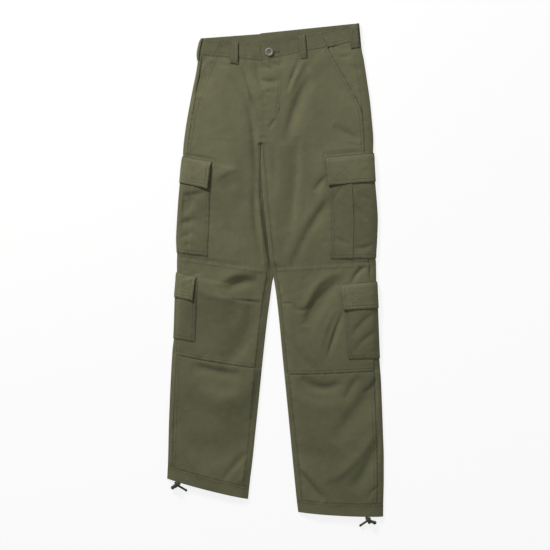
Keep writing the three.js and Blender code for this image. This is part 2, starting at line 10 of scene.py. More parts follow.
import bpy
import numpy as np
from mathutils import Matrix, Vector


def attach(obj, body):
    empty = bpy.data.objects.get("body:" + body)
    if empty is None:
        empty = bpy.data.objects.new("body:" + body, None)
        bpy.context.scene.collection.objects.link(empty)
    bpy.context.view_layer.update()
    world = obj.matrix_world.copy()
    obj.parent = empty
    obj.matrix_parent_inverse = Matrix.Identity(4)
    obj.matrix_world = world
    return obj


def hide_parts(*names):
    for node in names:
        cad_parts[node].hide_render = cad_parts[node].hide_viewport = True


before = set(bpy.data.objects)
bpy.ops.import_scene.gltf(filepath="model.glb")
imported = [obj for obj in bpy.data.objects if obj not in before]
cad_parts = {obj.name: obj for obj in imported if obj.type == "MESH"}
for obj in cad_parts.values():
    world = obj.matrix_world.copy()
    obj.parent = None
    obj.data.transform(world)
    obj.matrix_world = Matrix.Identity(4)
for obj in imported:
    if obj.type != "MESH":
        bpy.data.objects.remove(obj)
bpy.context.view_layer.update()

MM = 0.001

# Driving sizes, as in the part's source
CLOTH = 1.2  # one ply of twill with its pressed seams
BAND = 2.0  # waistband and hem casing, which are folded double
GAP = 0.3  # clearance between sewn pieces
LEG_CLEARANCE = 0.2  # from the line between the thighs to either leg
LOOP_PLY = 1.4
LOOP_SLACK = 1.5
POCKET_SLACK = 2.0
FLAP_SLACK = 1.2
CORD_RADIUS = 2.2
KNOT_WIRE = 2.8
BUTTON_AT = (-14, 490, 9)
BACK_RISE = 23
PLY = CLOTH + GAP

# Sizes of the finish
LOFT = 3.4  # how much fuller the cloth lies than the plain solids
LAP, LAP_RISE = 2.6, 3.9  # how far the left thigh's inner edge lies over the right one, and up
EDGE_DROP = 1.7  # how much thinner the right thigh is along its inner edge
KNEE_STEP = 1.1  # how far the shin rises below the knee's seam, to lie level with it
FLY_LAP = 3.0  # how far the left front lies over the right one
SEAT_SHIFT = 4.0  # from the middle of the front to the middle seam of the back
UNDER_WAVE = 0.4  # half the height of the underside's waves
ROLL = 0.45  # radius of a folded edge
ROWS_OF_STITCHES = (1.8, 7.6)  # from a seam or an edge
STITCH, STITCH_GAP = 2.7, 0.8
THREAD = 0.62  # thickness of the thread
BRAID = 0.4  # how far a cord's strands stand out
KNOT_SWELL = 1.1  # how much thicker the knot's turns are on top
STITCH_RAISED = 0.12  # how far the middle of a stitch stands off the cloth
TACK_WIDTH, TACK_PITCH = 1.9, 0.75  # of a bar tack's stitches
LAP_FALL, LAP_REACH = 1.2, 34  # how far from its edge the lapping thigh rises, below and above
CALM_REACH = 18  # how far from a leg's inner edge the creases reach their height
SIDE_FOLD = 2.2  # radius of the left front's softer outer edge
POCKET_SINK = 0.4  # how far the hip pocket's bearer lies below the front at its outer end
GRID, FINE_GRID, FOLD_GRID = 3.0, 2.6, 1.1  # spacing of points on panels, patches and folds
FAR = 99.0  # the distance to a border that has no stitches
SHARP = math.radians(50)  # faces that meet at more than this are shaded apart


def table(columns, *rows):
    return [dict(zip(columns, row)) for row in rows]


BETWEEN_HALVES = (  # the fly, and the line between the thighs to where the legs part
    (533.5, -32.5), (510, -34), (470.5, -30.5), (427.5, -28), (382.5, -26), (326.5, -25),
    (288, -28.5), (247.5, -30), (225, -29.5), (191.5, -27), (157.5, -25), (119.5, -20.5),
    (90, -17.5), (63, -14.5), (34, -11.5), (11.5, -8), (-15.5, -4.5))
OUTLINE = {
    "left": {
        "outer": table(("y", "x"),
            (555.5, 188.5), (517.5, 192), (497.5, 194), (472.5, 199), (427.5, 206),
            (382.5, 212.5), (349, 216), (288, 220.5), (263.5, 220), (199.5, 223), (180, 224.5),
            (157.5, 226.5), (112.5, 229), (67.5, 227.5), (27, 225.5), (16, 226.5), (-27, 227),
            (-85.5, 229.5), (-198, 234), (-247.5, 237.5), (-292.5, 239.5), (-360, 242),
            (-427.5, 244), (-472.5, 244), (-517.5, 243), (-555, 242.5)),
        "inner": table(("y", "x"), *BETWEEN_HALVES,
            (-45, 0), (-67.5, 3), (-112.5, 8), (-202.5, 16.5), (-292.5, 25.5), (-360, 32),
            (-427.5, 38.5), (-472.5, 43), (-517.5, 47.5), (-545, 51)),
    },
    "right": {
        "outer": table(("y", "x"),
            (522, -166.5), (504, -171.5), (490.5, -174), (472.5, -175), (450, -178),
            (405, -187), (360, -195.5), (315, -203), (270, -208), (254.5, -208.5),
            (225, -211.5), (196, -214), (157.5, -217.5), (112.5, -220.5), (67.5, -222.5),
            (38.5, -221.5), (18, -222), (-5.5, -222), (-58.5, -225.5), (-90, -226.5),
            (-153, -229), (-180, -232), (-247.5, -236), (-292.5, -238), (-360, -240.5),
            (-427.5, -242), (-470, -244)),
        "inner": table(("y", "x"), *BETWEEN_HALVES,
            (-27, -7), (-45, -9.5), (-67.5, -12.5), (-112.5, -18.5), (-202.5, -28.5),
            (-292.5, -37.5), (-360, -44.5), (-427.5, -51.5), (-472.5, -57), (-515, -61.5)),
    },
}

COLUMNS = ("name", "outer_y", "inner_y", "bow", "edge", "loft", "front_u", "inset_u",
           "pocket_u", "under_u")
SECTIONS = {
    "left": table(COLUMNS,
        ("band_top", 555.5, 510, 0, 6.0, 0, 0.377, 0, 0.45, 0.4),
        ("waist_seam", 516.5, 470.5, 0, 6.0, 0.2, 0.323, 0, 0.45, 0.4),
        ("hip", 432, 400.5, 0, 5.6, 0.7, 0.187, 0, 0.43, 0.4),
        ("slash_end", 349, 333, 0, 5.4, 0.9, 0.07, 0, 0.42, 0.39),
        ("rise_end", 292.5, 290.5, 0, 5.2, 0.9, 0.07, 0, 0.415, 0.38),
        ("leg_start", 289.5, 285, 0, 5.2, 0.9, 0.07, 0.004, 0.415, 0.38),
        ("flap_top", 263.5, 241, 0, 5.0, 0.9, 0.07, 0.02, 0.41, 0.38),
        ("mouth", 252.5, 230, 0, 5.0, 1.0, 0.07, 0.025, 0.408, 0.38),
        ("flap_end", 199.5, 178, 0, 5.0, 1.0, 0.065, 0.03, 0.405, 0.38),
        ("thigh", 112.5, 99, 0, 5.2, 1.0, 0.06, 0.03, 0.415, 0.38),
        ("pocket_end", 27, 24, 0, 5.0, 1.0, 0.06, 0.03, 0.428, 0.38),
        ("knee_top", 17, 3.5, 0, 5.0, 1.0, 0.06, 0.03, 0.42, 0.37),
        ("low_flap_top", -25.5, -42.5, 0, 5.0, 1.0, 0.055, 0.03, 0.345, 0.32),
        ("low_mouth", -35.5, -51, 0, 5.0, 1.0, 0.052, 0.03, 0.343, 0.31),
        ("low_flap_end", -85.5, -96.5, 0, 5.0, 1.0, 0.048, 0.03, 0.335, 0.31),
        ("low_pocket_end", -198, -203.5, 0, 5.0, 1.0, 0.05, 0.03, 0.32, 0.31),
        ("knee_end", -227, -235, -2, 4.8, 1.0, 0.055, 0.033, 0.33, 0.32),
        ("shin", -319.5, -324, -2, 4.8, 1.0, 0.06, 0.04, 0.36, 0.35),
        ("calf", -416, -414, -2, 4.8, 1.0, 0.058, 0.05, 0.38, 0.37),
        ("hem_seam", -525, -516, -3.5, 5.0, 1.6, 0.06, 0.052, 0.4, 0.4),
        ("hem", -555, -545, -3, 5.0, 2.0, 0.06, 0.052, 0.4, 0.4)),
    "right": table(COLUMNS,
        ("band_top", 522, 508.5, 0, 6.0, 0, 0.326, 0, 0.45, 0.55),
        ("waist_seam", 484, 470.5, 0, 6.0, 0.2, 0.23, 0, 0.42, 0.55),
        ("hip", 418.5, 400.5, 0, 5.6, 0.7, 0.114, 0, 0.39, 0.58),
        ("slash_end", 351, 333, 0, 5.4, 0.9, 0.045, 0, 0.375, 0.6),
        ("rise_end", 299.5, 290.5, 0, 5.2, 0.8, 0.045, 0, 0.365, 0.6),
        ("leg_start", 295, 285, 0, 5.0, 0.7, 0.045, 0.004, 0.365, 0.6),
        ("flap_top", 255.5, 224, 0, 5.0, 0.7, 0.04, 0.02, 0.358, 0.6),
        ("mouth", 245.5, 212, 0, 5.0, 0.8, 0.04, 0.03, 0.355, 0.6),
        ("flap_end", 196, 155.5, 0, 5.0, 0.8, 0.038, 0.045, 0.348, 0.6),
        ("thigh", 115, 76.5, 0, 5.0, 0.8, 0.036, 0.055, 0.34, 0.6),
        ("pocket_end", 39.5, 13.5, 0, 4.8, 0.8, 0.035, 0.06, 0.317, 0.58),
        ("knee_top", 28.5, -2, 0, 4.8, 0.8, 0.035, 0.06, 0.31, 0.57),
        ("low_flap_top", -5, -47, 0, 4.8, 0.9, 0.035, 0.062, 0.212, 0.5),
        ("low_mouth", -14.5, -56, 0, 4.8, 0.9, 0.035, 0.063, 0.215, 0.48),
        ("low_flap_end", -61, -99, 0, 4.8, 1.0, 0.035, 0.065, 0.226, 0.48),
        ("low_pocket_end", -153, -186.5, 0, 4.8, 1.0, 0.036, 0.067, 0.23, 0.48),
        ("knee_end", -189, -221.5, -3, 4.8, 1.0, 0.038, 0.067, 0.25, 0.48),
        ("shin", -292.5, -326, -3, 4.8, 1.0, 0.04, 0.062, 0.3, 0.45),
        ("calf", -378, -418.5, -3, 4.8, 1.0, 0.04, 0.06, 0.35, 0.42),
        ("hem_seam", -439.5, -486, -3, 5.0, 1.6, 0.04, 0.07, 0.4, 0.4),
        ("hem", -470, -515, -3, 5.0, 2.0, 0.04, 0.07, 0.4, 0.4)),
}

# Creases of the upper side. Each curve goes through three points along the middle of the crease's
# wall that faces the light, or away from it in a trough. left and right are the half widths of
# its two walls, seen along the curve, and height is under 0 for a trough.
CREASES = table(("x0", "y0", "x1", "y1", "x2", "y2", "left", "right", "height"),
    # waist and hips
    (-104, 462, -46, 460, 14, 472, 13, 24, -3.4),
    (-132, 484, -160, 466, -176, 430, 6, 9, -3.8),
    (-186, 392, -175, 436, -154, 476, 13, 20, -5.0),
    (-128, 474, -112, 463, -92, 470, 4, 6, -1.8),
    (-61, 504, -63, 490, -60, 476, 5, 6, -1.2),
    (-147, 504, -122, 503, -98, 497, 3, 4, -0.9),
    (35, 520, 34, 500, 32, 481, 3, 4, -1.4),
    (111, 500, 104, 491, 97, 483, 3, 4, -1.3),
    (139, 482, 156, 483, 175, 489, 2.5, 5, -2.2),
    (130, 501, 148, 500, 167, 503, 5, 6, -1.4),
    (172, 466, 180, 456, 190, 448, 4, 5, -1.3),
    (128, 535, 146, 527, 166, 523, 4, 5, -1.0),
    (96, 484, 80, 462, 66, 430, 8, 12, -1.8),
    # seat and thighs
    (17, 284, 38, 366, 74, 440, 10, 14, -5.2),
    (26, 394, 42, 436, 68, 478, 7, 6, 2.4),
    (24, 401, 37, 441, 55, 482, 4, 5, -2.6),
    (20, 90, 33, 196, 36, 300, 16, 9, -5.0),
    (-3, 90, 1, 203, 1, 293, 9, 14, 1.6),
    (-30, 405, -46, 437, -68, 472, 4, 6, -2.8),
    (-30, 342, -55, 389, -80, 472, 4, 6, -3.0),
    (-50, 190, -53, 290, -68, 385, 8, 7, -5.0),
    (-31, 15, -50, 110, -50, 205, 8, 7, -5.0),
    (-31, 158, -23, 84, -12, 0, 5, 9, 4.4),
    (-44, 326, -60, 371, -66, 410, 4, 4, 1.6),
    (12, 6, 63, 107, 112, 190, 14, 9, 3.0),
    (23, 3, 67, 97, 120, 164, 12, 13, -4.0),
    (85, 177, 96, 196, 115, 216, 5, 8, -2.8),
    (106, 73, 112, 66, 118, 60, 3, 4, -1.2),
    (132, 329, 161, 313, 192, 295, 6, 12, -3.1),
    (156, 290, 179, 284, 199, 281, 4, 6, -1.3),
    (-143, 205, -120, 225, -84, 239, 12, 8, 2.3),
    (-134, 180, -107, 198, -71, 207, 12, 14, -1.6),
    (-120, 27, -107, 124, -89, 180, 20, 24, -1.8),
    (1, 340, -5, 328, -13, 316, 2.5, 5, -2.1),
    (-40, 486, -34, 456, -26, 420, 9, 6, -3.8),
    (-12, 476, 2, 466, 18, 474, 5, 7, -2.4),
    (-27, 468, -18, 458, -4, 453, 4, 5, -2.8),
    (-27, 434, -14, 428, 6, 432, 6, 9, -3.4),
    (-24, 400, -14, 404, 0, 396, 4, 6, -1.6),
    (-98, -63, -64, -67, -32, -71, 2.5, 4, -1.6),
    (12, -73, 26, -73, 39, -72, 2.5, 4, -1.3),
    # right knee and shin
    (-138, -31, -98, -2, -42, 0, 14, 8, 3.9),
    (-116, -45, -84, -25, -39, -20, 8, 10, -4.2),
    (-170, -8, -138, -38, -56, -53, 22, 48, 6.2),
    (-172, -24, -146, -52, -64, -64, 6, 9, 2.0),
    (-128, -194, -79, -146, -62, -66, 24, 17, -6.4),
    (-186, -207, -132, -222, -76, -229, 8, 12, -4.2),
    (-212, -186, -125, -277, -52, -216, 20, 28, 6.0),
    (-214, -292, -136, -388, -58, -306, 34, 36, -5.4),
    (-224, -355, -197, -409, -161, -468, 8, 8, 2.3),
    (-233, -382, -215, -432, -192, -468, 5, 6, -1.6),
    (-179, -382, -156, -432, -138, -463, 8, 12, -1.6),
    (-123, -472, -95, -435, -63, -402, 9, 6, -3.6),
    (-98, -481, -66, -454, -48, -423, 6, 6, 1.3),
    # left knee and shin
    (54, -120, 85, -32, 152, 5, 12, 8, 3.0),
    (60, -126, 85, -70, 148, -14, 12, 16, -6.4),
    (64, -150, 90, -84, 124, -60, 16, 10, -2.4),
    (46, -72, 57, -88, 82, -72, 4, 6, -2.1),
    (115, -196, 129, -146, 150, -90, 3.5, 7, -3.6),
    (96, -180, 114, -117, 136, -81, 8, 5, 1.6),
    (73, -223, 42, -184, 17, -142, 5, 7, -2.1),
    (87, -216, 64, -180, 46, -148, 6, 6, 1.6),
    (168, -33, 182, -4, 206, 12, 5, 6, -3.2),
    (208, -24, 210, -2, 216, 14, 4, 5, -1.4),
    (64, -236, 102, -258, 146, -248, 10, 10, -4.8),
    (46, -265, 96, -297, 156, -281, 12, 16, 2.1),
    (150, -292, 166, -262, 182, -236, 7, 9, -2.6),
    (118, -378, 172, -312, 224, -244, 20, 26, -6.4),
    (195, -274, 217, -256, 231, -229, 5, 8, -2.1),
    (48, -360, 123, -409, 204, -337, 20, 22, -2.1),
    (164, -490, 198, -440, 232, -362, 13, 16, -5.0),
    (96, -468, 156, -441, 217, -360, 12, 8, 2.1),
    (50, -437, 80, -478, 112, -517, 5, 14, -4.4),
    (51, -409, 82, -459, 127, -499, 9, 9, 2.3),
    (204, -517, 217, -495, 237, -481, 4, 4, -1.6),
    # pockets
    (127, 158, 141, 180, 152, 189, 4, 6, -1.3),
    (134, 77, 152, 68, 170, 61, 4, 7, -2.1),
    (179, 151, 195, 131, 208, 113, 5, 6, -2.3),
    (179, 54, 199, 54, 222, 63, 4, 7, -2.1),
    (190, 180, 201, 167, 217, 162, 4, 5, -1.6),
    (-208, 128, -197, 149, -186, 164, 5, 7, -2.6),
    (-225, 140, -204, 156, -184, 166, 12, 13, -4.4),
    (-224, 176, -196, 172, -158, 181, 7, 9, -3.4),
    (-216, 112, -200, 112, -180, 122, 6, 8, -2.6),
    (-219, 79, -201, 81, -186, 90, 4, 6, -1.6),
    (-222, 146, -190, 140, -160, 146, 40, 28, -3.0),
    (-212, 262, -176, 256, -140, 247, 2.4, 2.4, -1.3),
    (108, 260, 160, 265, 214, 270, 2.4, 2.4, -1.3),
    (-208, 52, -197, 61, -181, 54, 4, 5, -1.3),
    (-215, -76, -201, -108, -183, -135, 6, 8, -1.6),
    (168, -148, 190, -117, 219, -94, 6, 9, -2.3),
    (172, -187, 195, -155, 228, -135, 5, 8, -1.6))


# Shape of the garment
def smooth(x):
    x = np.clip(x, 0, 1)
    return x * x * (3 - 2 * x)


def curve(at, value):
    """Monotone cubic through (at, value), with at rising."""
    at, value = np.asarray(at, float), np.asarray(value, float)
    slope = np.diff(value) / np.diff(at)
    before, after = slope[:-1], slope[1:]
    same = before * after > 0
    inside = np.where(same, 2 * before * after / np.where(same, before + after, 1), 0)
    tangent = np.concatenate([slope[:1], inside, slope[-1:]])

    def evaluate(x):
        i = np.clip(np.searchsorted(at, x, side="right") - 1, 0, len(at) - 2)
        width = at[i + 1] - at[i]
        s = np.clip((x - at[i]) / width, 0, 1)
        return ((1 + 2 * s) * (1 - s) ** 2 * value[i] + s * (1 - s) ** 2 * width * tangent[i]
                + s * s * (3 - 2 * s) * value[i + 1] + s * s * (s - 1) * width * tangent[i + 1])

    return evaluate


def outline_curve(rows):
    return curve([row["y"] for row in reversed(rows)], [row["x"] for row in reversed(rows)])


class Half:
    """One half of the garment: curves for its outline and its sections' columns."""

    def __init__(self, side):
        rows = SECTIONS[side]
        self.side = side
        self.sign = 1 if side == "left" else -1
        self.outer_x = outline_curve(OUTLINE[side]["outer"])
        self.inner_x = outline_curve(OUTLINE[side]["inner"])
        self.at = {row["name"]: i for i, row in enumerate(rows)}
        for name in COLUMNS[1:]:
            setattr(self, name, curve(range(len(rows)), [row[name] for row in rows]))

    def width(self, t):
        return np.abs(self.outer_x(self.outer_y(t)) - self.inner_x(self.inner_y(t)))

    def seam_u(self, t):
        return np.minimum(self.front_u(t), 0.07 if self.side == "left" else 0.045)


LEFT, RIGHT = Half("left"), Half("right")


def value_noise(x, y, cell, seed):
    """Smooth noise from -1 to 1, with features about cell mm across."""
    lattice = np.random.RandomState(seed).uniform(-1, 1, (256, 256))
    x, y = np.asarray(x) / cell, np.asarray(y) / cell
    i, j = np.floor(x).astype(int), np.floor(y).astype(int)
    a, b = smooth(x - i), smooth(y - j)
    near = [[lattice[(i + di) & 255, (j + dj) & 255] for dj in (0, 1)] for di in (0, 1)]
    return ((near[0][0] * (1 - a) + near[1][0] * a) * (1 - b)
            + (near[0][1] * (1 - a) + near[1][1] * a) * b)


def crease_height(x, y):
    """What the creases add at each point of the upper side."""
    height = np.zeros_like(x)
    s = np.linspace(0, 1, 13)
    for c in CREASES:
        middle = [2 * c[k + "1"] - (c[k + "0"] + c[k + "2"]) / 2 for k in "xy"]
        px = (1 - s) ** 2 * c["x0"] + 2 * s * (1 - s) * middle[0] + s * s * c["x2"]
        py = (1 - s) ** 2 * c["y0"] + 2 * s * (1 - s) * middle[1] + s * s * c["y2"]
        reach = 3.2 * max(c["left"], c["right"])
        near = ((x > px.min() - reach) & (x < px.max() + reach)
                & (y > py.min() - reach) & (y < py.max() + reach))
        if not near.any():
            continue
        qx, qy = x[near], y[near]
        best = np.full(qx.shape, np.inf)
        along, side = np.zeros_like(qx), np.ones_like(qx)
        for k in range(len(s) - 1):
            dx, dy = px[k + 1] - px[k], py[k + 1] - py[k]
            share = np.clip(((qx - px[k]) * dx + (qy - py[k]) * dy) / (dx * dx + dy * dy), 0, 1)
            ox, oy = qx - px[k] - share * dx, qy - py[k] - share * dy
            distance = np.hypot(ox, oy)
            closer = distance < best
            best = np.where(closer, distance, best)
            along = np.where(closer, (k + share) / (len(s) - 1), along)
            side = np.where(closer, np.sign(dx * oy - dy * ox), side)
        from_axis = side * best + 0.7 * c["left"]
        width = np.where(from_axis > 0, c["left"], c["right"])
        height[near] += (c["height"] * np.exp(-(from_axis / width) ** 2)
                         * np.sin(np.pi * along) ** 0.6)
    return height


# Seams that gather the cloth beside them: places on the upper side, and how strongly they do
ALONG_SEAMS = table(("first", "last", "u", "strength"),
    ("waist_seam", "hem_seam", Half.seam_u, 0.4),
    ("leg_start", "hem_seam", lambda half, t: 1 - half.inset_u(t), 0.35),
    ("waist_seam", "slash_end", lambda half, t: half.front_u(t), 0.35),
    ("waist_seam", "rise_end", lambda half, t: np.ones_like(t), 0.6),
    ("flap_top", "pocket_end", lambda half, t: half.pocket_u(t), 0.25),
    ("low_flap_top", "low_pocket_end", lambda half, t: half.pocket_u(t), 0.25))
ACROSS_SEAMS = table(("at", "strength"),
    ("waist_seam", 0.7), ("knee_top", 0.6), ("pocket_end", 0.3), ("low_pocket_end", 0.3),
    ("knee_end", 0.6), ("hem_seam", 0.35))
GATHER_REACH = 13  # how far from a seam its gathers run
GATHER_CELL = 8


def gathers(half, t, u, x, y):
    """Small puckers beside the seams, as seams give once washed."""
    width = half.width(t)
    total = np.zeros_like(x)
    for k, seam in enumerate(ALONG_SEAMS):
        away = np.abs(u - seam["u"](half, t)) * width
        inside = smooth((t - half.at[seam["first"]]) * 8) * smooth((half.at[seam["last"]] - t) * 8)
        wave = value_noise(y + 40 * k, 0.35 * away, GATHER_CELL, 11 + k)
        total += seam["strength"] * inside * wave * np.exp(-(away / GATHER_REACH) ** 2)
    for k, seam in enumerate(ACROSS_SEAMS):
        s = float(half.at[seam["at"]])
        line = (half.outer_y(s) + (half.inner_y(s) - half.outer_y(s)) * u
                + half.bow(s) * 4 * u * (1 - u))
        away = np.abs(y - line)
        wave = value_noise(x + 40 * k, 0.35 * away, GATHER_CELL, 31 + k)
        total += seam["strength"] * wave * np.exp(-(away / GATHER_REACH) ** 2)
    return total


def under_lift(half, t, u):
    """Height of the underside over the floor, where pockets, flaps and loops lie under it."""
    near = 1 - smooth((u - half.under_u(t) - 0.01) / 0.19)

    def between(first, last):
        return np.minimum(smooth(1 + t - half.at[first]), smooth(1 + half.at[last] - t))

    flaps = np.maximum(between("flap_top", "flap_end"), between("low_flap_top", "low_flap_end"))
    bags = np.maximum(between("mouth", "pocket_end"), between("low_mouth", "low_pocket_end"))
    loops = 1 - smooth((t - half.at["waist_seam"] - 0.35) / 0.5)
    return PLY * (near * (flaps + bags) + loops)


def lap_share(half, t):
    """How fully the left thigh laps over the right one at a section."""
    at = half.at
    return (smooth((t - at["rise_end"]) / (at["leg_start"] - at["rise_end"]))
            * (1 - smooth((t - at["pocket_end"]) / 1.7)))


def back_clearance(half, t):
    """From the middle line to a back panel: the back's seam lies beside the fly."""
    share = lap_share(half, t)
    seam = SEAT_SHIFT + (LAP - SEAT_SHIFT) * share
    return seam + GAP if half.side == "right" else -seam


def place(half, t, g, clearance=GAP / 2):
    """Points of a half's skin and their outward directions."""
    t, g, clearance = (np.array(a, float) for a in np.broadcast_arrays(t, g, clearance))
    sign, at, is_left = half.sign, half.at, half.side == "left"
    is_leg = t >= at["leg_start"]
    share = lap_share(half, t)
    outer_y, inner_y, edge = half.outer_y(t), half.inner_y(t), half.edge(t)
    inner_edge = edge - (0 if is_left else EDGE_DROP * share)
    leg_clearance = LEG_CLEARANCE - (LAP * share if is_left else 0)
    outer_x = half.outer_x(outer_y)
    inner_x = half.inner_x(inner_y) + sign * np.where(is_leg, leg_clearance, clearance)
    outer_radius, inner_radius = edge / 2, np.where(is_leg, inner_edge / 2, 0)
    start_x, end_x = outer_x - sign * outer_radius, inner_x + sign * inner_radius
    turn = np.mod(g, 4)
    is_top, is_inner = turn <= 1, (turn > 1) & (turn < 2)
    is_under, is_outer = (turn >= 2) & (turn <= 3), turn > 3
    u = np.select([is_top, is_inner, is_under], [turn, np.ones_like(turn), 3 - turn], 0.0)

    rise = np.where(is_under, BACK_RISE * np.maximum(0, at["waist_seam"] - t) * u, 0)
    flat = is_top | is_under
    bow = np.where(flat, half.bow(t) * 4 * u * (1 - u), 0)
    x = start_x + (end_x - start_x) * u
    y = outer_y + (inner_y - outer_y) * u + bow + rise

    to_inner = (1 - u) * half.width(t)
    bottom = under_lift(half, t, u)
    if is_left:
        fall = np.where(is_under, (LAP + 1 - to_inner) / LAP_FALL, 1 - to_inner / LAP_REACH)
        bottom = bottom + LAP_RISE * share * smooth(fall)
    round_top = 1 - (2 * u - 1) ** 6
    calm_along = ((0.45 + 0.55 * smooth((t - at["waist_seam"]) / 0.9))
                  * (0.75 + 0.25 * smooth((at["hem_seam"] - t) / 0.6)))
    calm = smooth(u / 0.05) * np.where(is_leg, smooth(to_inner / CALM_REACH), 1) * calm_along
    fly = PLY * smooth((u - 0.8) / 0.12) * (1 - share) * (t < at["leg_start"]) if is_left else 0
    step_down = share * smooth((t - at["flap_end"]) / 2)
    low, slope = (0, 24) if is_left else (1.5 * step_down, 17 - 10 * step_down)
    inside = np.where(is_leg, smooth((to_inner - low) / slope), 1)
    edge_height = edge + (inner_edge - edge) * (1 - inside)
    fullness = inside * (1 - np.maximum(0, 1 - 2 * u) ** 16)
    loft = half.loft(t) * round_top + LOFT * calm_along * fullness
    past_knee = t - at["knee_end"]
    loft += KNEE_STEP * smooth((past_knee - 0.004) / 0.03) * (1 - smooth(past_knee / 0.7))
    top = bottom + edge_height + loft + fly
    if is_top.any():
        tx, ty, tt, tu = x[is_top], y[is_top], t[is_top], u[is_top]
        relief = (crease_height(tx, ty) * calm[is_top]
                  + gathers(half, tt, tu, tx, ty) * smooth(tu / 0.03)
                  + 0.35 * value_noise(tx, ty, 26, 5) + 0.2 * value_noise(tx, ty, 11, 6))
        top[is_top] += relief * smooth(tu / 0.05) * np.where(is_leg[is_top],
                                                             smooth((1 - tu) / 0.04), 1)
    lowest = bottom + 2 * CLOTH + 2 * GAP
    top = lowest + np.logaddexp(0, (top - lowest) * 2.5) / 2.5
    soft = smooth(u / 0.08) * smooth((1 - u) / 0.08)
    base = bottom + UNDER_WAVE * (1 + value_noise(x, y, 34, 7)) * soft

    angle = np.where(is_inner, turn - 1, 4 - turn) * np.pi
    lean, rise_z = np.sin(angle), np.cos(angle)
    radius = np.where(is_inner, inner_radius, outer_radius)
    outward_x = np.where(is_inner, -sign * lean, np.where(is_outer, sign * lean, 0))
    outward_z = np.where(is_top, 1, np.where(is_under, -1, rise_z))
    z = np.where(is_top, top, np.where(is_under, base, bottom + radius + radius * rise_z))
    x = x + np.where(flat, 0, radius * outward_x)
    return np.stack([x, y, z], -1), np.stack([outward_x, np.zeros_like(x), outward_z], -1)


def locate(half, x, y):
    """The place (t, u) of points of the upper side, given in plan."""
    x, y = np.asarray(x, float), np.asarray(y, float)
    fine = np.linspace(0, len(half.at) - 1, 600)
    t, u = np.empty_like(x), np.full_like(x, 0.5)
    for _ in range(5):
        for i in range(len(x)):
            line = (half.outer_y(fine) + (half.inner_y(fine) - half.outer_y(fine)) * u[i]
                    + half.bow(fine) * 4 * u[i] * (1 - u[i]))
            t[i] = np.interp(-y[i], -line, fine)
        edge = half.sign * half.edge(t) / 2
        start = half.outer_x(half.outer_y(t)) - edge
        end = half.inner_x(half.inner_y(t)) + np.where(t >= half.at["leg_start"], edge, 0)
        u = np.clip((x - start) / (end - start), 0, 1)
    return t, u


# Grids
EDGE_MARKS = np.array([0, 0.25, 0.7, 1.5, 3.0])  # the points of a folded edge, from the edge


def marks(length, step):
    """Distances along a piece: close beside both ends, and about step apart between them."""
    ends = EDGE_MARKS * min(1, length / 12)
    count = max(1, math.ceil((length - 2 * ends[-1]) / step))
    middle = np.linspace(ends[-1], length - ends[-1], count + 1)
    return np.concatenate([ends[:-1], middle, (length - ends[:-1])[::-1]])


def rows(half, first, last, step=GRID, trim=(False, False)):
    """Sections from one to another, by name or number, at even distances down the leg."""
    a, b = (half.at[s] if isinstance(s, str) else s for s in (first, last))
    fine = np.linspace(a, b, 500)
    middle = (half.outer_y(fine) + half.inner_y(fine)) / 2
    down = middle[0] - middle
    at = marks(down[-1], step)
    share = at / at[-1]
    first_cut, last_cut = (GAP / 2 if cut else 0 for cut in trim)
    return np.interp(first_cut + share * (down[-1] - first_cut - last_cut), down, fine)


def columns(half, t, anchors, step=GRID):
    """Places round each row from the first anchor to the last, close beside both ends."""
    anchors = [np.broadcast_to(np.asarray(a, float), t.shape) for a in anchors]
    out = []
    for k, (a, b) in enumerate(zip(anchors, anchors[1:])):
        is_fold = np.floor((a + b) / 2) % 2 == 1
        length = (b - a) * np.where(is_fold, math.pi * half.edge(t) / 2, half.width(t))
        fine = FOLD_GRID if is_fold.any() else step
        count = max(1, math.ceil(length.max() / fine))
        shares = np.linspace(0, 1, count + 1)[:, None] * np.ones_like(t)
        is_first, is_last = k == 0, k == len(anchors) - 2
        if is_first or is_last:
            tight = np.minimum(EDGE_MARKS[:, None], length * np.arange(5)[:, None] * 0.08) / length
            start = tight if is_first else tight[:1] * 0
            stop = 1 - (tight if is_last else tight[:1] * 0)[::-1]
            middle = start[-1] + (stop[0] - start[-1]) * shares
            shares = np.concatenate([start[:-1], middle, stop[1:]])
        out.append((a + (b - a) * shares)[:-1] if not is_last else a + (b - a) * shares)
    return np.concatenate(out).T


def distances(grid, axis):
    """How far each point lies from the first and the last of its row or column."""
    step = np.linalg.norm(np.diff(grid, axis=axis), axis=2)
    run = np.cumsum(step, axis=axis)
    first = np.insert(run, 0, 0, axis=axis)
    total = first.take([-1], axis=axis)
    return first, total - first


ROLLED = dict.fromkeys(("start", "end", "top", "bottom"), ROLL)


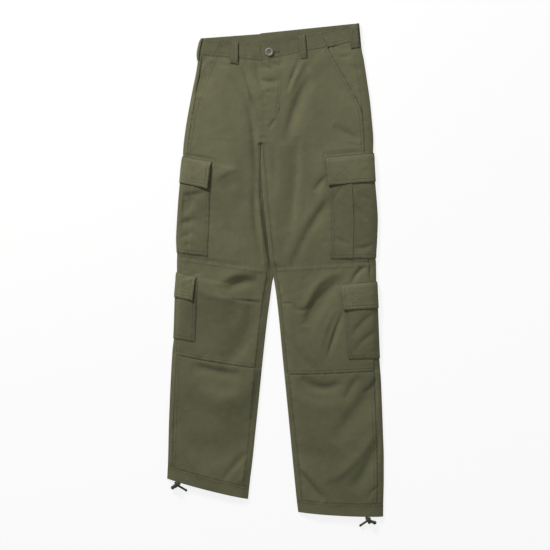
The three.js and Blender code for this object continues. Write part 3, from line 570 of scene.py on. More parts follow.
class Piece:
    """A wall of cloth over a grid of points, with the lines that lie beside its borders."""

    def __init__(self, points, outward, lift, thickness, is_ring=False, rolls=ROLLED):
        skin = points + outward * (np.asarray(lift) * np.ones(points.shape[:2]))[..., None]
        over, under = distances(skin, 1), distances(skin, 0)
        self.away = {"start": over[0], "end": over[1], "top": under[0], "bottom": under[1]}
        if is_ring:
            self.away["start"] = self.away["end"] = np.full(points.shape[:2], FAR)
        roll = np.ones(points.shape[:2])
        for border, radius in rolls.items():
            near = np.clip(self.away[border] / radius, 0, 1)
            thinnest = 0.6 if radius <= ROLL else 0.15  # of the cloth, at the very edge
            roll = roll * (thinnest + (1 - thinnest) * np.sqrt(1 - (1 - near) ** 2))
        self.outward = outward
        self.inner = skin
        self.outer = skin + outward * (thickness * roll)[..., None]
        self.is_ring = is_ring

    def beside(self, border, distance):
        """The line on the outside at a distance from a border, with its outward directions."""
        axis = 1 if border in ("start", "end") else 0
        away = self.away[border]
        found = []
        for i in range(self.outer.shape[1 - axis]):
            d, p, n = (a.take(i, axis=1 - axis) for a in (away, self.outer, self.outward))
            if border in ("end", "bottom"):
                d, p, n = d[::-1], p[::-1], n[::-1]
            found.append([[np.interp(distance, d, q[:, k]) for k in range(3)] for q in (p, n)])
        found = np.array(found)
        return found[:, 0], found[:, 1]


def wall_mesh(name, piece, stitched):
    """The piece as a closed mesh, with the distance from its stitched borders on each point."""
    outer, inner = piece.outer, piece.inner
    n, m = outer.shape[:2]
    index = np.arange(n * m).reshape(n, m)
    if piece.is_ring:
        index = np.hstack([index, index[:, :1]])
    behind = index + n * m

    def strip(a, b):
        return np.stack([a[:-1], a[1:], b[1:], b[:-1]], -1).reshape(-1, 4)

    quads = [np.stack([index[:-1, :-1], index[:-1, 1:], index[1:, 1:], index[1:, :-1]], -1),
             np.stack([behind[:-1, :-1], behind[1:, :-1], behind[1:, 1:], behind[:-1, 1:]], -1)]
    quads = [q.reshape(-1, 4) for q in quads]
    quads += [strip(behind[0], index[0]), strip(index[-1], behind[-1])]
    if not piece.is_ring:
        quads += [strip(index[:, 0], behind[:, 0]), strip(behind[:, -1], index[:, -1])]
    quads = np.concatenate(quads)
    points = np.concatenate([outer.reshape(-1, 3), inner.reshape(-1, 3)])
    a, b, c = (points[quads[:, k]] for k in (0, 1, 2))
    d = points[quads[:, 3]]
    volume = (a * np.cross(b, c)).sum() + (a * np.cross(c, d)).sum()
    if volume < 0:
        quads = quads[:, ::-1]
    seam = np.full((n, m), FAR)
    for border in stitched:
        seam = np.minimum(seam, piece.away[border])
    obj = mesh_object(name, points, quads)
    obj.data.set_sharp_from_angle(angle=SHARP)
    values = np.concatenate([seam.ravel(), np.full(n * m, FAR)])
    attribute = obj.data.attributes.new("seam_mm", "FLOAT", "POINT")
    attribute.data.foreach_set("value", values.astype(np.float32))
    return obj


def mesh_object(name, points, faces):
    """A smooth mesh from points in millimetres."""
    mesh = bpy.data.meshes.new(name)
    faces = faces.tolist() if isinstance(faces, np.ndarray) else faces
    mesh.from_pydata((np.asarray(points) * MM).tolist(), [], faces)
    mesh.polygons.foreach_set("use_smooth", [True] * len(mesh.polygons))
    mesh.update()
    obj = bpy.data.objects.new(name, mesh)
    bpy.context.scene.collection.objects.link(obj)
    return obj


# Materials
def tree_of(name):
    material = bpy.data.materials.new(name)
    material.use_nodes = True
    tree = material.node_tree
    tree.nodes.clear()
    return material, tree


def node(tree, kind, inputs=None, **settings):
    """A shader node. inputs maps a socket's name or number to a value or another's output."""
    made = tree.nodes.new("ShaderNode" + kind)
    for key, value in settings.items():
        setattr(made, key, value)
    for key, value in (inputs or {}).items():
        socket = made.inputs[key]
        if isinstance(value, bpy.types.NodeSocket):
            tree.links.new(value, socket)
        else:
            socket.default_value = value
    return made


def math_node(tree, operation, *values):
    return node(tree, "Math", dict(enumerate(values)), operation=operation).outputs[0]


def colour_mix(tree, share, a, b):
    return node(tree, "Mix", {0: share, 6: a, 7: b}, data_type="RGBA").outputs[2]


def noise(tree, where, size, detail, roughness=0.5):
    made = node(tree, "TexNoise", {"Vector": where, "Scale": 1 / size, "Detail": detail,
                                   "Roughness": roughness})
    return made.outputs[0]


def remap(tree, value, low, high, to_low=0.0, to_high=1.0):
    made = node(tree, "MapRange", {0: value, 1: low, 2: high, 3: to_low, 4: to_high})
    return made.outputs[0]


def finished(material, tree, inputs):
    """The material, with its surface shader made from these inputs."""
    shader = node(tree, "BsdfPrincipled", inputs)
    node(tree, "OutputMaterial", {"Surface": shader.outputs[0]})
    return material


def linear(*srgb):
    """A colour for a shader from its 0 to 255 values."""
    return tuple((c / 255 / 12.92) if c <= 10 else ((c / 255 + 0.055) / 1.055) ** 2.4
                 for c in srgb) + (1.0,)


def twill(name, shade=1.0, edge=(150, 148, 122), edge_share=0.12):
    """Washed olive twill: mottled dye, edge colour by the borders, diagonal ribs, grooves under the
    stitching with a painted shade in them.
    """
    material, tree = tree_of(name)
    where = node(tree, "TexCoord").outputs["Object"]
    where = node(tree, "VectorMath", {0: where, "Scale": 1 / MM}, operation="SCALE").outputs[0]

    def dye(*srgb):
        return linear(*(c * shade for c in srgb))

    broad, patchy = noise(tree, where, 120, 3), noise(tree, where, 17, 4, 0.6)
    grain = noise(tree, where, 1.6, 3, 0.7)
    share = math_node(tree, "ADD", math_node(tree, "MULTIPLY", broad, 0.9),
                      math_node(tree, "MULTIPLY", patchy, 0.6))
    share = remap(tree, share, 0.5, 1.0)
    colour = colour_mix(tree, share, dye(84, 84, 62), dye(98, 97, 72))
    seam = node(tree, "Attribute", attribute_name="seam_mm").outputs["Fac"]
    # Near the stitched borders the colour moves in patches towards the edge colour: a light edge
    # colour is wear, a dark one, as on the flaps, is painted shade.
    patches = remap(tree, seam, 0.0, 1.6, edge_share, 0.0)
    patches = math_node(tree, "MULTIPLY", patches, remap(tree, noise(tree, where, 5, 2), 0.3, 0.7))
    colour = colour_mix(tree, patches, colour, dye(*edge))
    beside = [math_node(tree, "ABSOLUTE", math_node(tree, "SUBTRACT", seam, row))
              for row in ROWS_OF_STITCHES]
    for off in beside:
        shadow = remap(tree, off, 0.3, 1.4, 0.2, 0.0)
        colour = colour_mix(tree, shadow, colour, dye(58, 57, 40))
    colour = colour_mix(tree, remap(tree, grain, 0.2, 0.8, 0.0, 0.35), colour, dye(78, 78, 56))

    ribs_at = node(tree, "VectorMath", {0: where, 1: (4.2, 5.6, 4.2)}, operation="DOT_PRODUCT")
    ribs = math_node(tree, "SINE", ribs_at.outputs["Value"])
    height = math_node(tree, "MULTIPLY", ribs, 0.03)
    height = math_node(tree, "ADD", height, math_node(tree, "MULTIPLY", grain, 0.12))
    height = math_node(tree, "ADD", height,
                       math_node(tree, "MULTIPLY", noise(tree, where, 9, 3, 0.6), 0.5))
    ticks = math_node(tree, "MULTIPLY", noise(tree, where, 3.2, 2, 0.6),
                      remap(tree, seam, 3.0, 13.0, 0.7, 0.0))
    height = math_node(tree, "ADD", height, ticks)
    for off in beside:
        height = math_node(tree, "ADD", height, remap(tree, off, 0.0, 1.3, -0.3, 0.0))
    bump = node(tree, "Bump", {"Height": height, "Distance": MM, "Strength": 1.0})
    return finished(material, tree, {
        "Base Color": colour, "Roughness": 0.9, "Specular IOR Level": 0.25,
        "Sheen Weight": 0.22, "Sheen Roughness": 0.55, "Sheen Tint": linear(190, 190, 165),
        "Normal": bump.outputs[0]})


def thread_material():
    material, tree = tree_of("thread")
    where = node(tree, "TexCoord").outputs["Object"]
    tone = noise(tree, where, 0.012, 1)
    colour = colour_mix(tree, tone, linear(48, 47, 33), linear(74, 73, 53))
    return finished(material, tree, {"Base Color": colour, "Roughness": 0.6, "Sheen Weight": 0.2})


def cord_material():
    material, tree = tree_of("braided_cord")
    where = node(tree, "TexCoord").outputs["Object"]
    fibres = noise(tree, where, 0.0006, 2)
    colour = colour_mix(tree, fibres, linear(26, 28, 17), linear(56, 58, 41))
    bump = node(tree, "Bump", {"Height": fibres, "Distance": 0.0002, "Strength": 0.8})
    return finished(material, tree, {"Base Color": colour, "Roughness": 0.75,
                                     "Sheen Weight": 0.15, "Normal": bump.outputs[0]})


def button_material():
    material, tree = tree_of("button_metal")
    where = node(tree, "TexCoord").outputs["Object"]
    patches = noise(tree, where, 0.002, 4, 0.65)
    from_middle = node(tree, "VectorMath", {0: where, 1: tuple(c * MM for c in BUTTON_AT)},
                       operation="DISTANCE").outputs["Value"]
    # The middle, within about 4 mm, is darker.
    dark_middle = remap(tree, from_middle, 3.6 * MM, 4.4 * MM, 1.0, 0.0)
    colour = colour_mix(tree, patches, linear(92, 94, 80), linear(120, 122, 106))
    colour = colour_mix(tree, dark_middle, colour, linear(38, 39, 30))
    rough = remap(tree, patches, 0.3, 0.7, 0.5, 0.65)
    bump = node(tree, "Bump", {"Height": patches, "Distance": 0.0001, "Strength": 0.4})
    return finished(material, tree, {"Base Color": colour, "Metallic": 0.2,
                                     "Roughness": rough, "Normal": bump.outputs[0]})


FACE_CLOTH = twill("twill")
# Flap cloth: a little lighter, and dark along its stitched borders, a painted shade in its seams and
# under its edges.
FLAP_CLOTH = twill("twill_flap", 1.04, (40, 39, 27), 0.9)
# Pocket cloth: a darker copy of the twill, a painted shade over the leg pockets.
SHADED_POCKET_CLOTH = twill("twill_pocket_shaded", 0.96)
BACK_CLOTH = twill("twill_back", 0.99)
BAND_CLOTH = twill("twill_double", 0.93)
THREAD_LOOK = thread_material()
CORD_LOOK = cord_material()
BUTTON_LOOK = button_material()


# Camera and light
PHOTO_SIDE = 1237.5  # millimetres of the surface that the photo's side spans
PHOTO_CENTRE = (-1.1, -11.0)  # where its middle lies
CAMERA_HEIGHT = 4200
SENSOR = 36.0


def aim(obj, target):
    direction = Vector(target) - obj.location
    obj.rotation_euler = direction.to_track_quat("-Z", "Y").to_euler()


def camera():
    data = bpy.data.cameras.new("camera")
    data.sensor_width = SENSOR
    data.lens = SENSOR * (CAMERA_HEIGHT - 6) / PHOTO_SIDE
    data.clip_end = 50
    obj = bpy.data.objects.new("camera", data)
    obj.location = (PHOTO_CENTRE[0] * MM, PHOTO_CENTRE[1] * MM, CAMERA_HEIGHT * MM)
    bpy.context.scene.collection.objects.link(obj)
    bpy.context.scene.camera = obj


def area_light(name, location, target, size, power, colour):
    data = bpy.data.lights.new(name, "AREA")
    data.size, data.energy, data.color = size, power, colour
    obj = bpy.data.objects.new(name, data)
    obj.location = location
    bpy.context.scene.collection.objects.link(obj)
    aim(obj, target)


def studio():
    """A large soft key from the upper left, a weak fill, and a pale lit table under it all."""
    area_light("key", (-1.5, 2.5, 1.55), (0, 0.15, 0), 0.7, 141, (1.0, 0.99, 0.96))
    area_light("fill", (2.4, -0.2, 2.4), (0, 0, 0), 2.4, 18, (0.95, 0.98, 1.0))
    world = bpy.data.worlds.new("studio")
    world.use_nodes = True
    world.node_tree.nodes["Background"].inputs[0].default_value = (0.97, 0.985, 1, 1)
    world.node_tree.nodes["Background"].inputs[1].default_value = 0.28
    bpy.context.scene.world = world
    view = bpy.context.scene.view_settings
    view.view_transform, view.look, view.exposure, view.gamma = "Standard", "None", 0.0, 1.0

    side, drop = 12000, 0.6
    corners = [(-side, -side, -drop), (side, -side, -drop), (side, side, -drop),
               (-side, side, -drop)]
    floor = mesh_object("floor", corners, [(0, 1, 2, 3)])
    material, tree = tree_of("floor")
    floor.data.materials.append(finished(material, tree, {
        "Base Color": (0.14, 0.14, 0.14, 1), "Roughness": 0.8, "Specular IOR Level": 0.0,
        "Emission Color": (1, 1, 1, 1), "Emission Strength": 0.84}))


# Drawcords
def through(points):
    """A smooth line through given points, eight steps to a span."""
    p = np.array(points, float)
    p = np.vstack([2 * p[0] - p[1], p, 2 * p[-1] - p[-2]])
    out = []
    for a, b, c, d in zip(p, p[1:], p[2:], p[3:]):
        for s in np.arange(8) / 8:
            out.append(0.5 * (2 * b + (c - a) * s + (2 * a - 5 * b + 4 * c - d) * s * s
                              + (3 * b - a - 3 * c + d) * s ** 3))
    return np.array(out + [p[-2]])


def tube(name, line, radii, sides=14, braid=0.0):
    """A closed tube along a line, with its radius at each point and a braid's relief."""
    line = np.asarray(line)
    tangent = np.gradient(line, axis=0)
    tangent /= np.linalg.norm(tangent, axis=1)[:, None]
    up = np.array([0.0, 0.0, 1.0])
    side = np.cross(tangent, up)
    side /= np.linalg.norm(side, axis=1)[:, None]
    top = np.cross(side, tangent)
    run = np.concatenate([[0], np.cumsum(np.linalg.norm(np.diff(line, axis=0), axis=1))])
    angle = np.linspace(0, 2 * np.pi, sides, endpoint=False)
    weave = np.sin(run[:, None] * 2.4 + 3 * angle) * np.sin(run[:, None] * 2.4 - 3 * angle)
    radius = np.asarray(radii)[:, None] * (1 - braid * (0.5 + 0.5 * weave))
    points = (line[:, None] + side[:, None] * (radius * np.cos(angle))[..., None]
              + top[:, None] * (radius * np.sin(angle))[..., None])
    n = len(line)
    index = np.arange(n * sides).reshape(n, sides)
    index = np.hstack([index, index[:, :1]])
    quads = np.stack([index[:-1, :-1], index[:-1, 1:], index[1:, 1:], index[1:, :-1]], -1)
    faces = quads.reshape(-1, 4).tolist() + [index[0, :-1].tolist(), index[-1, :-1][::-1].tolist()]
    return mesh_object(name, points.reshape(-1, 3), faces)


def cord_radii(count, first=False, flare=1.0, thicker=1.0):
    """Radii of a cord whose cut end is sealed, rounded and a little flared."""
    radii = np.full(count, (CORD_RADIUS + BRAID) * thicker)
    radii[-5:] *= [1 + (flare - 1) * 0.5, flare, flare, flare * 0.85, flare * 0.45]
    if first:
        radii[:2] *= [0.6, 0.92]
    return radii


def ready(obj, material, node_name):
    obj.data.materials.append(material)
    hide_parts(node_name)
    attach(obj, "root")


def drawcord(side, long_end, short_end, knot_at):
    """A hem's drawcord: its long end through the knot, its short end and the knot's turns."""
    line = through(long_end)
    long_cord = tube(f"cord_{side}", line, cord_radii(len(line), flare=1.2), braid=0.12)
    ready(long_cord, CORD_LOOK, f"hem_cord_{side}")
    line_end = through(short_end)
    radii = cord_radii(len(line_end), True, 1.25, 1.45)
    line_end[:, 2] = np.maximum(line_end[:, 2], radii)
    short_cord = tube(f"cord_end_{side}", line_end, radii, braid=0.12)
    ready(short_cord, CORD_LOOK, f"hem_cord_end_{side}")

    middle = line[int(knot_at * (len(line) - 1))]
    along = line[int(knot_at * (len(line) - 1)) + 1] - middle
    along /= np.linalg.norm(along)
    across = np.cross(along, (0, 0, 1.0))
    across /= np.linalg.norm(across)
    over = np.cross(across, along)
    turn = np.linspace(-0.4, 1.9 * 2 * np.pi, 90)
    wire = KNOT_WIRE + KNOT_SWELL * (1 + np.sin(turn)) / 2
    reach = CORD_RADIUS + BRAID + wire + 0.05
    drift = (turn / turn[-1] - 0.5) * 6 + 0.7 * np.sin(turn * 1.5)
    turns = (middle + along * drift[:, None] + across * (reach * np.cos(turn))[:, None]
             + over * (reach * np.sin(turn))[:, None])
    turns[:, 2] = np.maximum(turns[:, 2], wire)
    radii = wire.copy()
    radii[[0, -1]] *= 0.5
    knot = tube(f"knot_{side}", turns, radii, 12, 0.12)
    ready(knot, CORD_LOOK, f"hem_knot_{side}")


camera()
drawcord("right",
         [(-226.5, -477.2, 4.6), (-221.8, -482.8, 5.4), (-215.3, -487.2, 4.8),
          (-207.5, -491.9, 3.2), (-199, -497.2, 2.4)],
         [(-226.6, -485.6, 4.2), (-229.2, -487.6, 3.2), (-232.4, -490.4, 2.6)], 0.25)
drawcord("left",
         [(213.5, -557.2, 4.6), (209, -562.2, 5.4), (203, -566.8, 4.8), (196.3, -571.4, 3.2),
          (189, -576.6, 2.4)],
         [(213.4, -565, 4.4), (218.6, -566.9, 3.2), (225, -569, 2.5)], 0.25)
studio()


# Stitching
class Thread:
    """Gathers the stitches of one piece, and makes them one mesh."""

    def __init__(self):
        self.starts, self.ends, self.ups = [], [], []

    def run(self, points, outward, pitch=STITCH + STITCH_GAP, length=STITCH):
        """Stitches along a line."""
        points, outward = np.asarray(points), np.asarray(outward)
        run = np.concatenate([[0], np.cumsum(np.linalg.norm(np.diff(points, axis=0), axis=1))])
        at = np.arange(0.5, run[-1] - length, pitch)
        for offset, store in ((0, self.starts), (length, self.ends)):
            store.append(np.stack([np.interp(at + offset, run, points[:, k]) for k in range(3)], -1))
        self.ups.append(np.stack([np.interp(at, run, outward[:, k]) for k in range(3)], -1))

    def bar(self, start, end, up):
        """A bar tack: close stitches across a short line."""
        start, end, up = (np.asarray(a, float) for a in (start, end, up))
        along = (end - start) / np.linalg.norm(end - start)
        across = np.cross(up, along) * TACK_WIDTH / 2
        count = max(2, int(np.linalg.norm(end - start) / TACK_PITCH))
        at = start + (end - start) * np.linspace(0, 1, count)[:, None]
        self.starts.append(at - across)
        self.ends.append(at + across)
        self.ups.append(np.tile(up, (count, 1)))

    def make(self, name, slot):
        """Each stitch as a short four-sided bar with tapered ends that dip into the cloth."""
        a, b, up = (np.concatenate(s) for s in (self.starts, self.ends, self.ups))
        up = up / np.linalg.norm(up, axis=1)[:, None]
        along = b - a
        across = np.cross(along, up)
        across /= np.maximum(np.linalg.norm(across, axis=1), 1e-9)[:, None]
        centre = up * STITCH_RAISED
        r, h = across * THREAD / 2, up * THREAD * 0.42
        rings = []
        for share in (0.18, 0.82):
            c = a + along * share + centre
            rings += [c + r, c + h, c - r, c - h]
        points = np.stack([a - h * 0.6 + centre * 0.2, *rings, b - h * 0.6 + centre * 0.2], 1)
        faces = [(0, 2, 1), (0, 3, 2), (0, 4, 3), (0, 1, 4)]
        faces += [(1, 2, 6, 5), (2, 3, 7, 6), (3, 4, 8, 7), (4, 1, 5, 8)]
        faces += [(9, 5, 6), (9, 6, 7), (9, 7, 8), (9, 8, 5)]
        every = [tuple(v + 10 * k for v in face) for k in range(len(a)) for face in faces]
        obj = mesh_object(name, points.reshape(-1, 3), every)
        obj.data.materials.append(THREAD_LOOK)
        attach(obj, "root")
        return obj


def sew(piece, borders, rows_at=ROWS_OF_STITCHES):
    """Rows of stitches beside a piece's borders."""
    thread = Thread()
    for border in borders:
        for distance in rows_at:
            thread.run(*piece.beside(border, distance))
    return thread


def finish_cloth(name, piece, material, slot, stitched=(), thread=None):
    """Makes the mesh of a piece and its stitching."""
    obj = wall_mesh(f"{name}_cloth", piece, stitched)
    ready(obj, material, name)
    middle = (piece.outer + piece.inner) / 2
    if piece.is_ring:
        middle = np.concatenate([middle, middle[:, :1]], 1)
    [thread.make(f"{name}_stitching", slot)] if thread else []


# Pieces
def seam_gap(half, t):
    return GAP / 2 / half.width(t)


def share_of(half, t, first, last):
    return (t - half.at[first]) / (half.at[last] - half.at[first])


def on_top(half, line, lift=0.0):
    """A line drawn in plan, laid on the upper side: its points and their outward directions."""
    line = np.asarray(line, float)
    run = np.concatenate([[0], np.cumsum(np.hypot(*np.diff(line, axis=0).T))])
    at = np.linspace(0, run[-1], max(3, int(run[-1] / 2.5)))
    t, u = locate(half, np.interp(at, run, line[:, 0]), np.interp(at, run, line[:, 1]))
    points, outward = place(half, t, u)
    lift = lift(t, u) if callable(lift) else lift
    return points + outward * np.asarray(lift * np.ones(len(at)))[:, None], outward


def fly_stitching(thread):
    """The curved double row of the fly, and its three bar tacks."""
    for shift in (0, 5.6):
        line = through([(15 - shift, 468), (8 - shift, 372), (1 - shift, 341),
                        (-10 - shift * 0.6, 321 + shift * 0.8), (-23, 311 + shift)])
        thread.run(*on_top(LEFT, line))
    for bar in ([(-25, 428), (-13, 428)], [(-25, 312), (-17, 313)], [(6, 356), (9, 366)]):
        points, outward = on_top(LEFT, bar)
        thread.bar(points[0], points[-1], outward[0])


def flap_outline(half, thread):
    """The close double row round each thigh flap's seam that holds the pocket's facing."""
    lines = {"left": [[(203, 277), (168, 272.5), (108, 265.5), (110, 240), (112.5, 221)],
                      [(112.5, 221), (117, 222)]],
             "right": [[(-204, 264.5), (-170, 259), (-134, 251), (-136, 232)]]}
    for line in lines[half.side]:
        for lower in (0, 0.7):
            thread.run(*on_top(half, [(x, y - lower) for x, y in line]))


def leg_panels(half):
    t = rows(half, "waist_seam", "hem_seam", trim=(True, True))
    is_leg = t >= half.at["leg_start"]
    gap = seam_gap(half, t)
    end = np.where(is_leg, 1 - half.inset_u(t) - gap, 1)
    g = columns(half, t, [half.front_u(t) + gap, end])
    is_left = half.side == "left"
    piece = Piece(*place(half, t[:, None], g, -FLY_LAP if is_left else GAP / 2), -CLOTH, CLOTH,
                  rolls=ROLLED | {"start": SIDE_FOLD if is_left else ROLL})
    thread = sew(piece, ("start",))
    thread.run(*piece.beside("end", ROWS_OF_STITCHES[0]))
    flap_outline(half, thread)
    if is_left:
        fly_stitching(thread)
    finish_cloth(f"front_{half.side}", piece, FACE_CLOTH, "twill", ("start",), thread)

    lip = 1.6 / half.width(t)
    under = np.where(is_leg, 2, 2 + lip)
    anchors = [np.where(is_leg, 1 - half.inset_u(t) + gap, 2), np.where(is_leg, 1, 2 + lip / 2),
               under, under + (LAP - 0.2) / half.width(t), under + (LAP + 1) / half.width(t), 3, 4,
               4 + half.seam_u(t) - gap]
    g = columns(half, t, anchors, 4.0)
    piece = Piece(*place(half, t[:, None], g, back_clearance(half, t)[:, None]), -CLOTH, CLOTH)
    thread = Thread()
    thread.run(*piece.beside("start", ROWS_OF_STITCHES[0]))
    finish_cloth(f"back_{half.side}", piece, BACK_CLOTH, "twill_back", (), thread)


def hem_casing(half):
    t = rows(half, "hem_seam", "hem", 2.5, (True, False))
    g = columns(half, t, [0, 1, 2, 3, 4], 2.5)[:, :-1]
    piece = Piece(*place(half, t[:, None], g), -BAND, BAND, is_ring=True,
                  rolls={"top": ROLL, "bottom": ROLL})
    finish_cloth(f"hem_{half.side}", piece, FACE_CLOTH, "twill_double", ("top",),
                 sew(piece, ("top",), ROWS_OF_STITCHES[:1]))


def hip_pocket(half):
    tuck, depth = 0.05, 2.5 if half.side == "left" else 1.6  # depth is below the front's edge
    t = rows(half, "waist_seam", "slash_end", trim=(True, False))
    start, end = half.seam_u(t)[:, None], half.front_u(t)[:, None]
    g = columns(half, t, [start[:, 0] + seam_gap(half, t), end[:, 0] + tuck])
    shown = end - start
    nearness = np.where(shown < 1e-6, 1, smooth((g - start) / np.maximum(shown, 1e-6)))
    sunk = np.maximum(nearness, 1 - shown / tuck)
    lift = -(POCKET_SINK + (depth - POCKET_SINK) * sunk) - CLOTH
    piece = Piece(*place(half, t[:, None], g), lift, CLOTH, rolls={"start": ROLL})
    finish_cloth(f"hip_pocket_{half.side}", piece, BACK_CLOTH, "twill_back")


def knee_patch(half):
    t = rows(half, "knee_top", "knee_end", FINE_GRID)
    gap = seam_gap(half, t)
    g = columns(half, t, [half.front_u(t) + gap, 1 - half.inset_u(t) - gap], FINE_GRID)
    piece = Piece(*place(half, t[:, None], g), GAP, CLOTH,
                  rolls={"top": 5, "bottom": 3, "start": 5, "end": 7})
    thread = sew(piece, ("top", "bottom"))
    dart = [(-98, -63), (-64, -67), (-32, -71)] if half.side == "right" else [(12, -73), (39, -72)]
    thread.run(*on_top(half, dart, GAP + CLOTH))
    finish_cloth(f"knee_patch_{half.side}", piece, FACE_CLOTH, "twill",
                 ("top", "bottom"), thread)


def on_front(half, t, g):
    """How far a pocket's lift holds: it clears the knee patch only on the front."""
    return np.where(g >= half.front_u(t) - 1e-6, 1, np.clip(g / half.front_u(t), 0, 1))


def leg_pocket(half, name, mouth, end, below, pleat_in=0.0, pleat_depth=0.0):
    """A pocket bag wrapped round the outer edge, with a pleat that faces outwards."""
    t = rows(half, mouth, end, FINE_GRID)
    width, inner = half.width(t), half.pocket_u(t)
    anchors = [-1 - half.under_u(t), -1, 0, inner]
    if pleat_in:
        fold = inner - pleat_in / width
        anchors[3:3] = [fold, fold + 0.9 / width]
    g = columns(half, t, anchors, FINE_GRID)
    tt, across = t[:, None], np.clip(g / inner[:, None], 0, 1)
    down = share_of(half, tt, mouth, end)
    puff = POCKET_SLACK * np.sin(np.pi * across) * np.sin(np.pi * down)
    lift = GAP + below * on_front(half, tt, g) + np.maximum(0, puff)
    if pleat_in:
        over = np.clip((inner[:, None] - g) * width[:, None] / pleat_in, 0, 1)
        is_inside = g > (fold + 0.45 / width)[:, None]
        lift = lift + np.where(is_inside, pleat_depth * over ** 2 * smooth(down / 0.4), 0)
    piece = Piece(*place(half, tt, g), lift, CLOTH)
    borders = ("end", "bottom", "start")
    finish_cloth(f"{name}_{half.side}", piece, SHADED_POCKET_CLOTH, "twill", borders, sew(piece, borders))


def pocket_flap(half, name, top, mouth, end, below, overhang, tilt, cross_at):
    """A flap sewn on above the pocket's mouth, its free edge standing off the pocket."""
    t = rows(half, top, end, 2.2)
    down = share_of(half, t, top, end)
    edge = overhang[0] + (overhang[1] - overhang[0]) * down
    g = columns(half, t, [-1 - half.under_u(t), -1, 0, half.pocket_u(t) + edge], 2.2)

    def lift(t, g):
        down, across = share_of(half, t, top, end), np.clip(g / half.pocket_u(t), 0, 1)
        over_pocket = 0.4 + 0.6 * smooth(share_of(half, t, top, mouth))
        stand = (FLAP_SLACK + POCKET_SLACK * 0.55) * smooth(1.1 * down - 0.1)
        corner = tilt * smooth((across - 0.3) / 0.7) * smooth(down)
        return (GAP + below * on_front(half, t, g) + corner
                + over_pocket * (PLY + smooth((g + 0.3) / 0.5) * stand))

    piece = Piece(*place(half, t[:, None], g), lift(t[:, None], g), CLOTH)
    borders = ("end", "bottom", "start", "top")
    thread = sew(piece, borders)
    cross_stitching(half, thread, cross_at, lambda t, g: lift(t, g) + CLOTH)
    finish_cloth(f"{name}_{half.side}", piece, FLAP_CLOTH, "twill", borders, thread)


def cross_stitching(half, thread, centre, lift):
    """The square with its diagonals that holds a flap's fastener."""
    x, y = centre
    lean = 0.16 if half.side == "right" else -0.07
    corner = [(x + a * 16 + b * 13 * lean, y + b * 13 + a * 16 * -lean)
              for a, b in ((-1, -1), (1, -1), (1, 1), (-1, 1))]
    for a, b in ((0, 1), (1, 2), (2, 3), (3, 0), (0, 2), (1, 3)):
        thread.run(*on_top(half, [corner[a], corner[b]], lift))


def waistband():
    """Two fronts, and a back that wraps both sides up to the slanted pockets."""
    step_down = 0.6
    t = rows(LEFT, "band_top", "waist_seam", 2.5, (False, True))
    parts = []
    for half in (RIGHT, LEFT):
        gap = seam_gap(half, t)
        piece = Piece(*place(half, t[:, None], columns(half, t, [half.front_u(t) + gap, 1])),
                      -BAND, BAND)
        thread = sew(piece, ("top", "bottom"), ROWS_OF_STITCHES[:1])
        thread.run(*piece.beside("start", ROWS_OF_STITCHES[0]))
        if half.side == "left":
            buttonhole(thread)
        finish_cloth(f"waistband_front_{half.side}", piece, BAND_CLOTH, "twill_double",
                     ("top", "bottom", "start"), thread)
        g = columns(half, t, [-2, -1, 0, half.front_u(t) - gap])
        down = step_down * smooth(g / (half.front_u(t)[:, None] * 0.6))
        points, outward = place(half, t[:, None], g, 0)
        parts.append((points - outward * down[..., None], outward))
    joined = []
    for right, left in zip(*parts):
        middle = (right[:, :1] + left[:, :1]) / 2
        joined.append(np.concatenate([right[:, :0:-1], middle, left[:, 1:]], 1))
    piece = Piece(*joined, -BAND, BAND)
    finish_cloth("waistband_back", piece, BAND_CLOTH, "twill_double", ("top", "bottom"),
                 sew(piece, ("top", "bottom"), ROWS_OF_STITCHES[:1]))


def buttonhole(thread):
    """Close rows and a bar at their end, beside the button."""
    for y in (489.3, 490.2, 491.1, 492):
        points, outward = on_top(LEFT, [(-26, y), (8, y + 0.4)])
        thread.run(points, outward, 0.9, 2.2)
    points, outward = on_top(LEFT, [(8.5, 487.6), (8.5, 494.6)])
    thread.bar(points[0], points[-1], outward[0])


def belt_loop(name, half, first_g, last_g):
    """A strip over the waistband, sewn down at both ends and slack between them."""
    below = 0.22
    t = rows(half, 0.02, 1 + below, 1.6)
    is_under = first_g < -1
    g = columns(half, t, [first_g, last_g], 1.6)
    down = ((t - t[0]) / (t[-1] - t[0]))[:, None]
    slack = 0 if is_under else LOOP_SLACK
    lift = GAP + slack * smooth(np.minimum(down, 1 - down) * 6)
    thickness = CLOTH if is_under else LOOP_PLY
    piece = Piece(*place(half, t[:, None], g), lift, thickness)
    thread = sew(piece, ("start", "end"), (1.6,))
    middle = piece.outer.shape[1] // 2
    for i in (3, -4):
        thread.bar(piece.outer[i, 2], piece.outer[i, -3], piece.outward[i, middle])
    finish_cloth(name, piece, BAND_CLOTH, "twill_double", ("start", "end", "bottom"), thread)


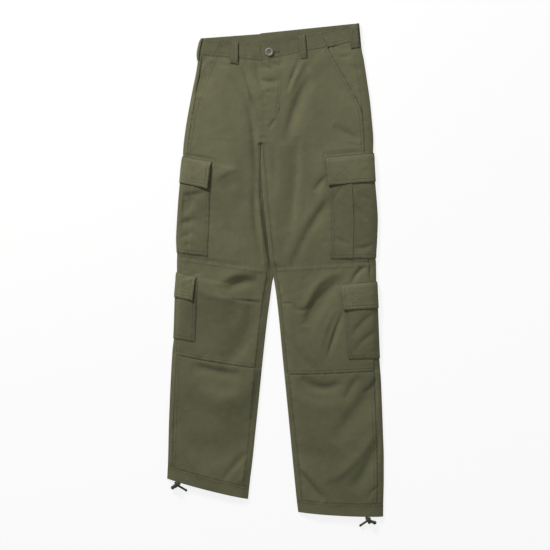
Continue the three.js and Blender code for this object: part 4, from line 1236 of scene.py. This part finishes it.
def button():
    """A hollow-topped button: a rolled rim, a dark well and a low stud in its middle."""
    profile = [(0, 0), (8.4, 0), (9.1, 0.2), (9.5, 0.7), (9.5, 1.5), (9.2, 2.1), (8.6, 2.5),
               (7.6, 2.75), (6.4, 2.75), (5.4, 2.5), (4.7, 2.0), (4.3, 1.4), (3.9, 1.0),
               (2.9, 0.9), (2.3, 1.1), (1.9, 1.5), (1.2, 1.7), (0, 1.75)]
    sides = 72
    x, y, _ = BUTTON_AT
    _, _, band = place(LEFT, [0.5], [0.93])[0][0]
    turn = np.linspace(0, 2 * np.pi, sides, endpoint=False)
    rings = [[(r * math.cos(a) + x, r * math.sin(a) + y, z + band + GAP) for a in turn]
             for r, z in profile[1:-1]]
    points = [(x, y, band + GAP)] + [p for ring in rings for p in ring]
    points += [(x, y, band + GAP + profile[-1][1])]
    faces = []
    for i in range(sides):
        j = (i + 1) % sides
        faces.append((0, 1 + j, 1 + i))
        for k in range(len(rings) - 1):
            a, b = 1 + k * sides, 1 + (k + 1) * sides
            faces.append((a + i, a + j, b + j, b + i))
        a = 1 + (len(rings) - 1) * sides
        faces.append((a + i, a + j, len(points) - 1))
    ready(mesh_object("button_metal", points, faces), BUTTON_LOOK, "button")


for half in (RIGHT, LEFT):
    leg_panels(half)
    hem_casing(half)
    hip_pocket(half)
    knee_patch(half)
THIGH_BAG = ("cargo_pocket", "mouth", "pocket_end", 0)
SHIN_BAG = ("shin_pocket", "low_mouth", "low_pocket_end", PLY)
THIGH_FLAP = ("cargo_flap", "flap_top", "mouth", "flap_end", 0)
SHIN_FLAP = ("shin_flap", "low_flap_top", "low_mouth", "low_flap_end", PLY)
leg_pocket(LEFT, *THIGH_BAG, pleat_in=52, pleat_depth=1.3)
leg_pocket(RIGHT, *THIGH_BAG, pleat_in=42, pleat_depth=0.6)
leg_pocket(LEFT, *SHIN_BAG)
leg_pocket(RIGHT, *SHIN_BAG)
pocket_flap(LEFT, *THIGH_FLAP, overhang=(0.012, 0.016), tilt=0.8, cross_at=(145, 218))
pocket_flap(RIGHT, *THIGH_FLAP, overhang=(0.005, -0.03), tilt=3.5, cross_at=(-172, 216))
pocket_flap(LEFT, *SHIN_FLAP, overhang=(0.005, 0.01), tilt=0.6, cross_at=(188, -65))
pocket_flap(RIGHT, *SHIN_FLAP, overhang=(0, -0.045), tilt=2.5, cross_at=(-206, -36))
waistband()
for loop_name, half, first_g, last_g in (
        ("front_left", LEFT, 0.545, 0.61), ("side_left", LEFT, 0.005, 0.095),
        ("front_right", RIGHT, 0.495, 0.62), ("side_right", RIGHT, -0.62, 0),
        ("back", LEFT, -1.97, -1.9)):
    belt_loop(f"belt_loop_{loop_name}", half, first_g, last_g)
button()
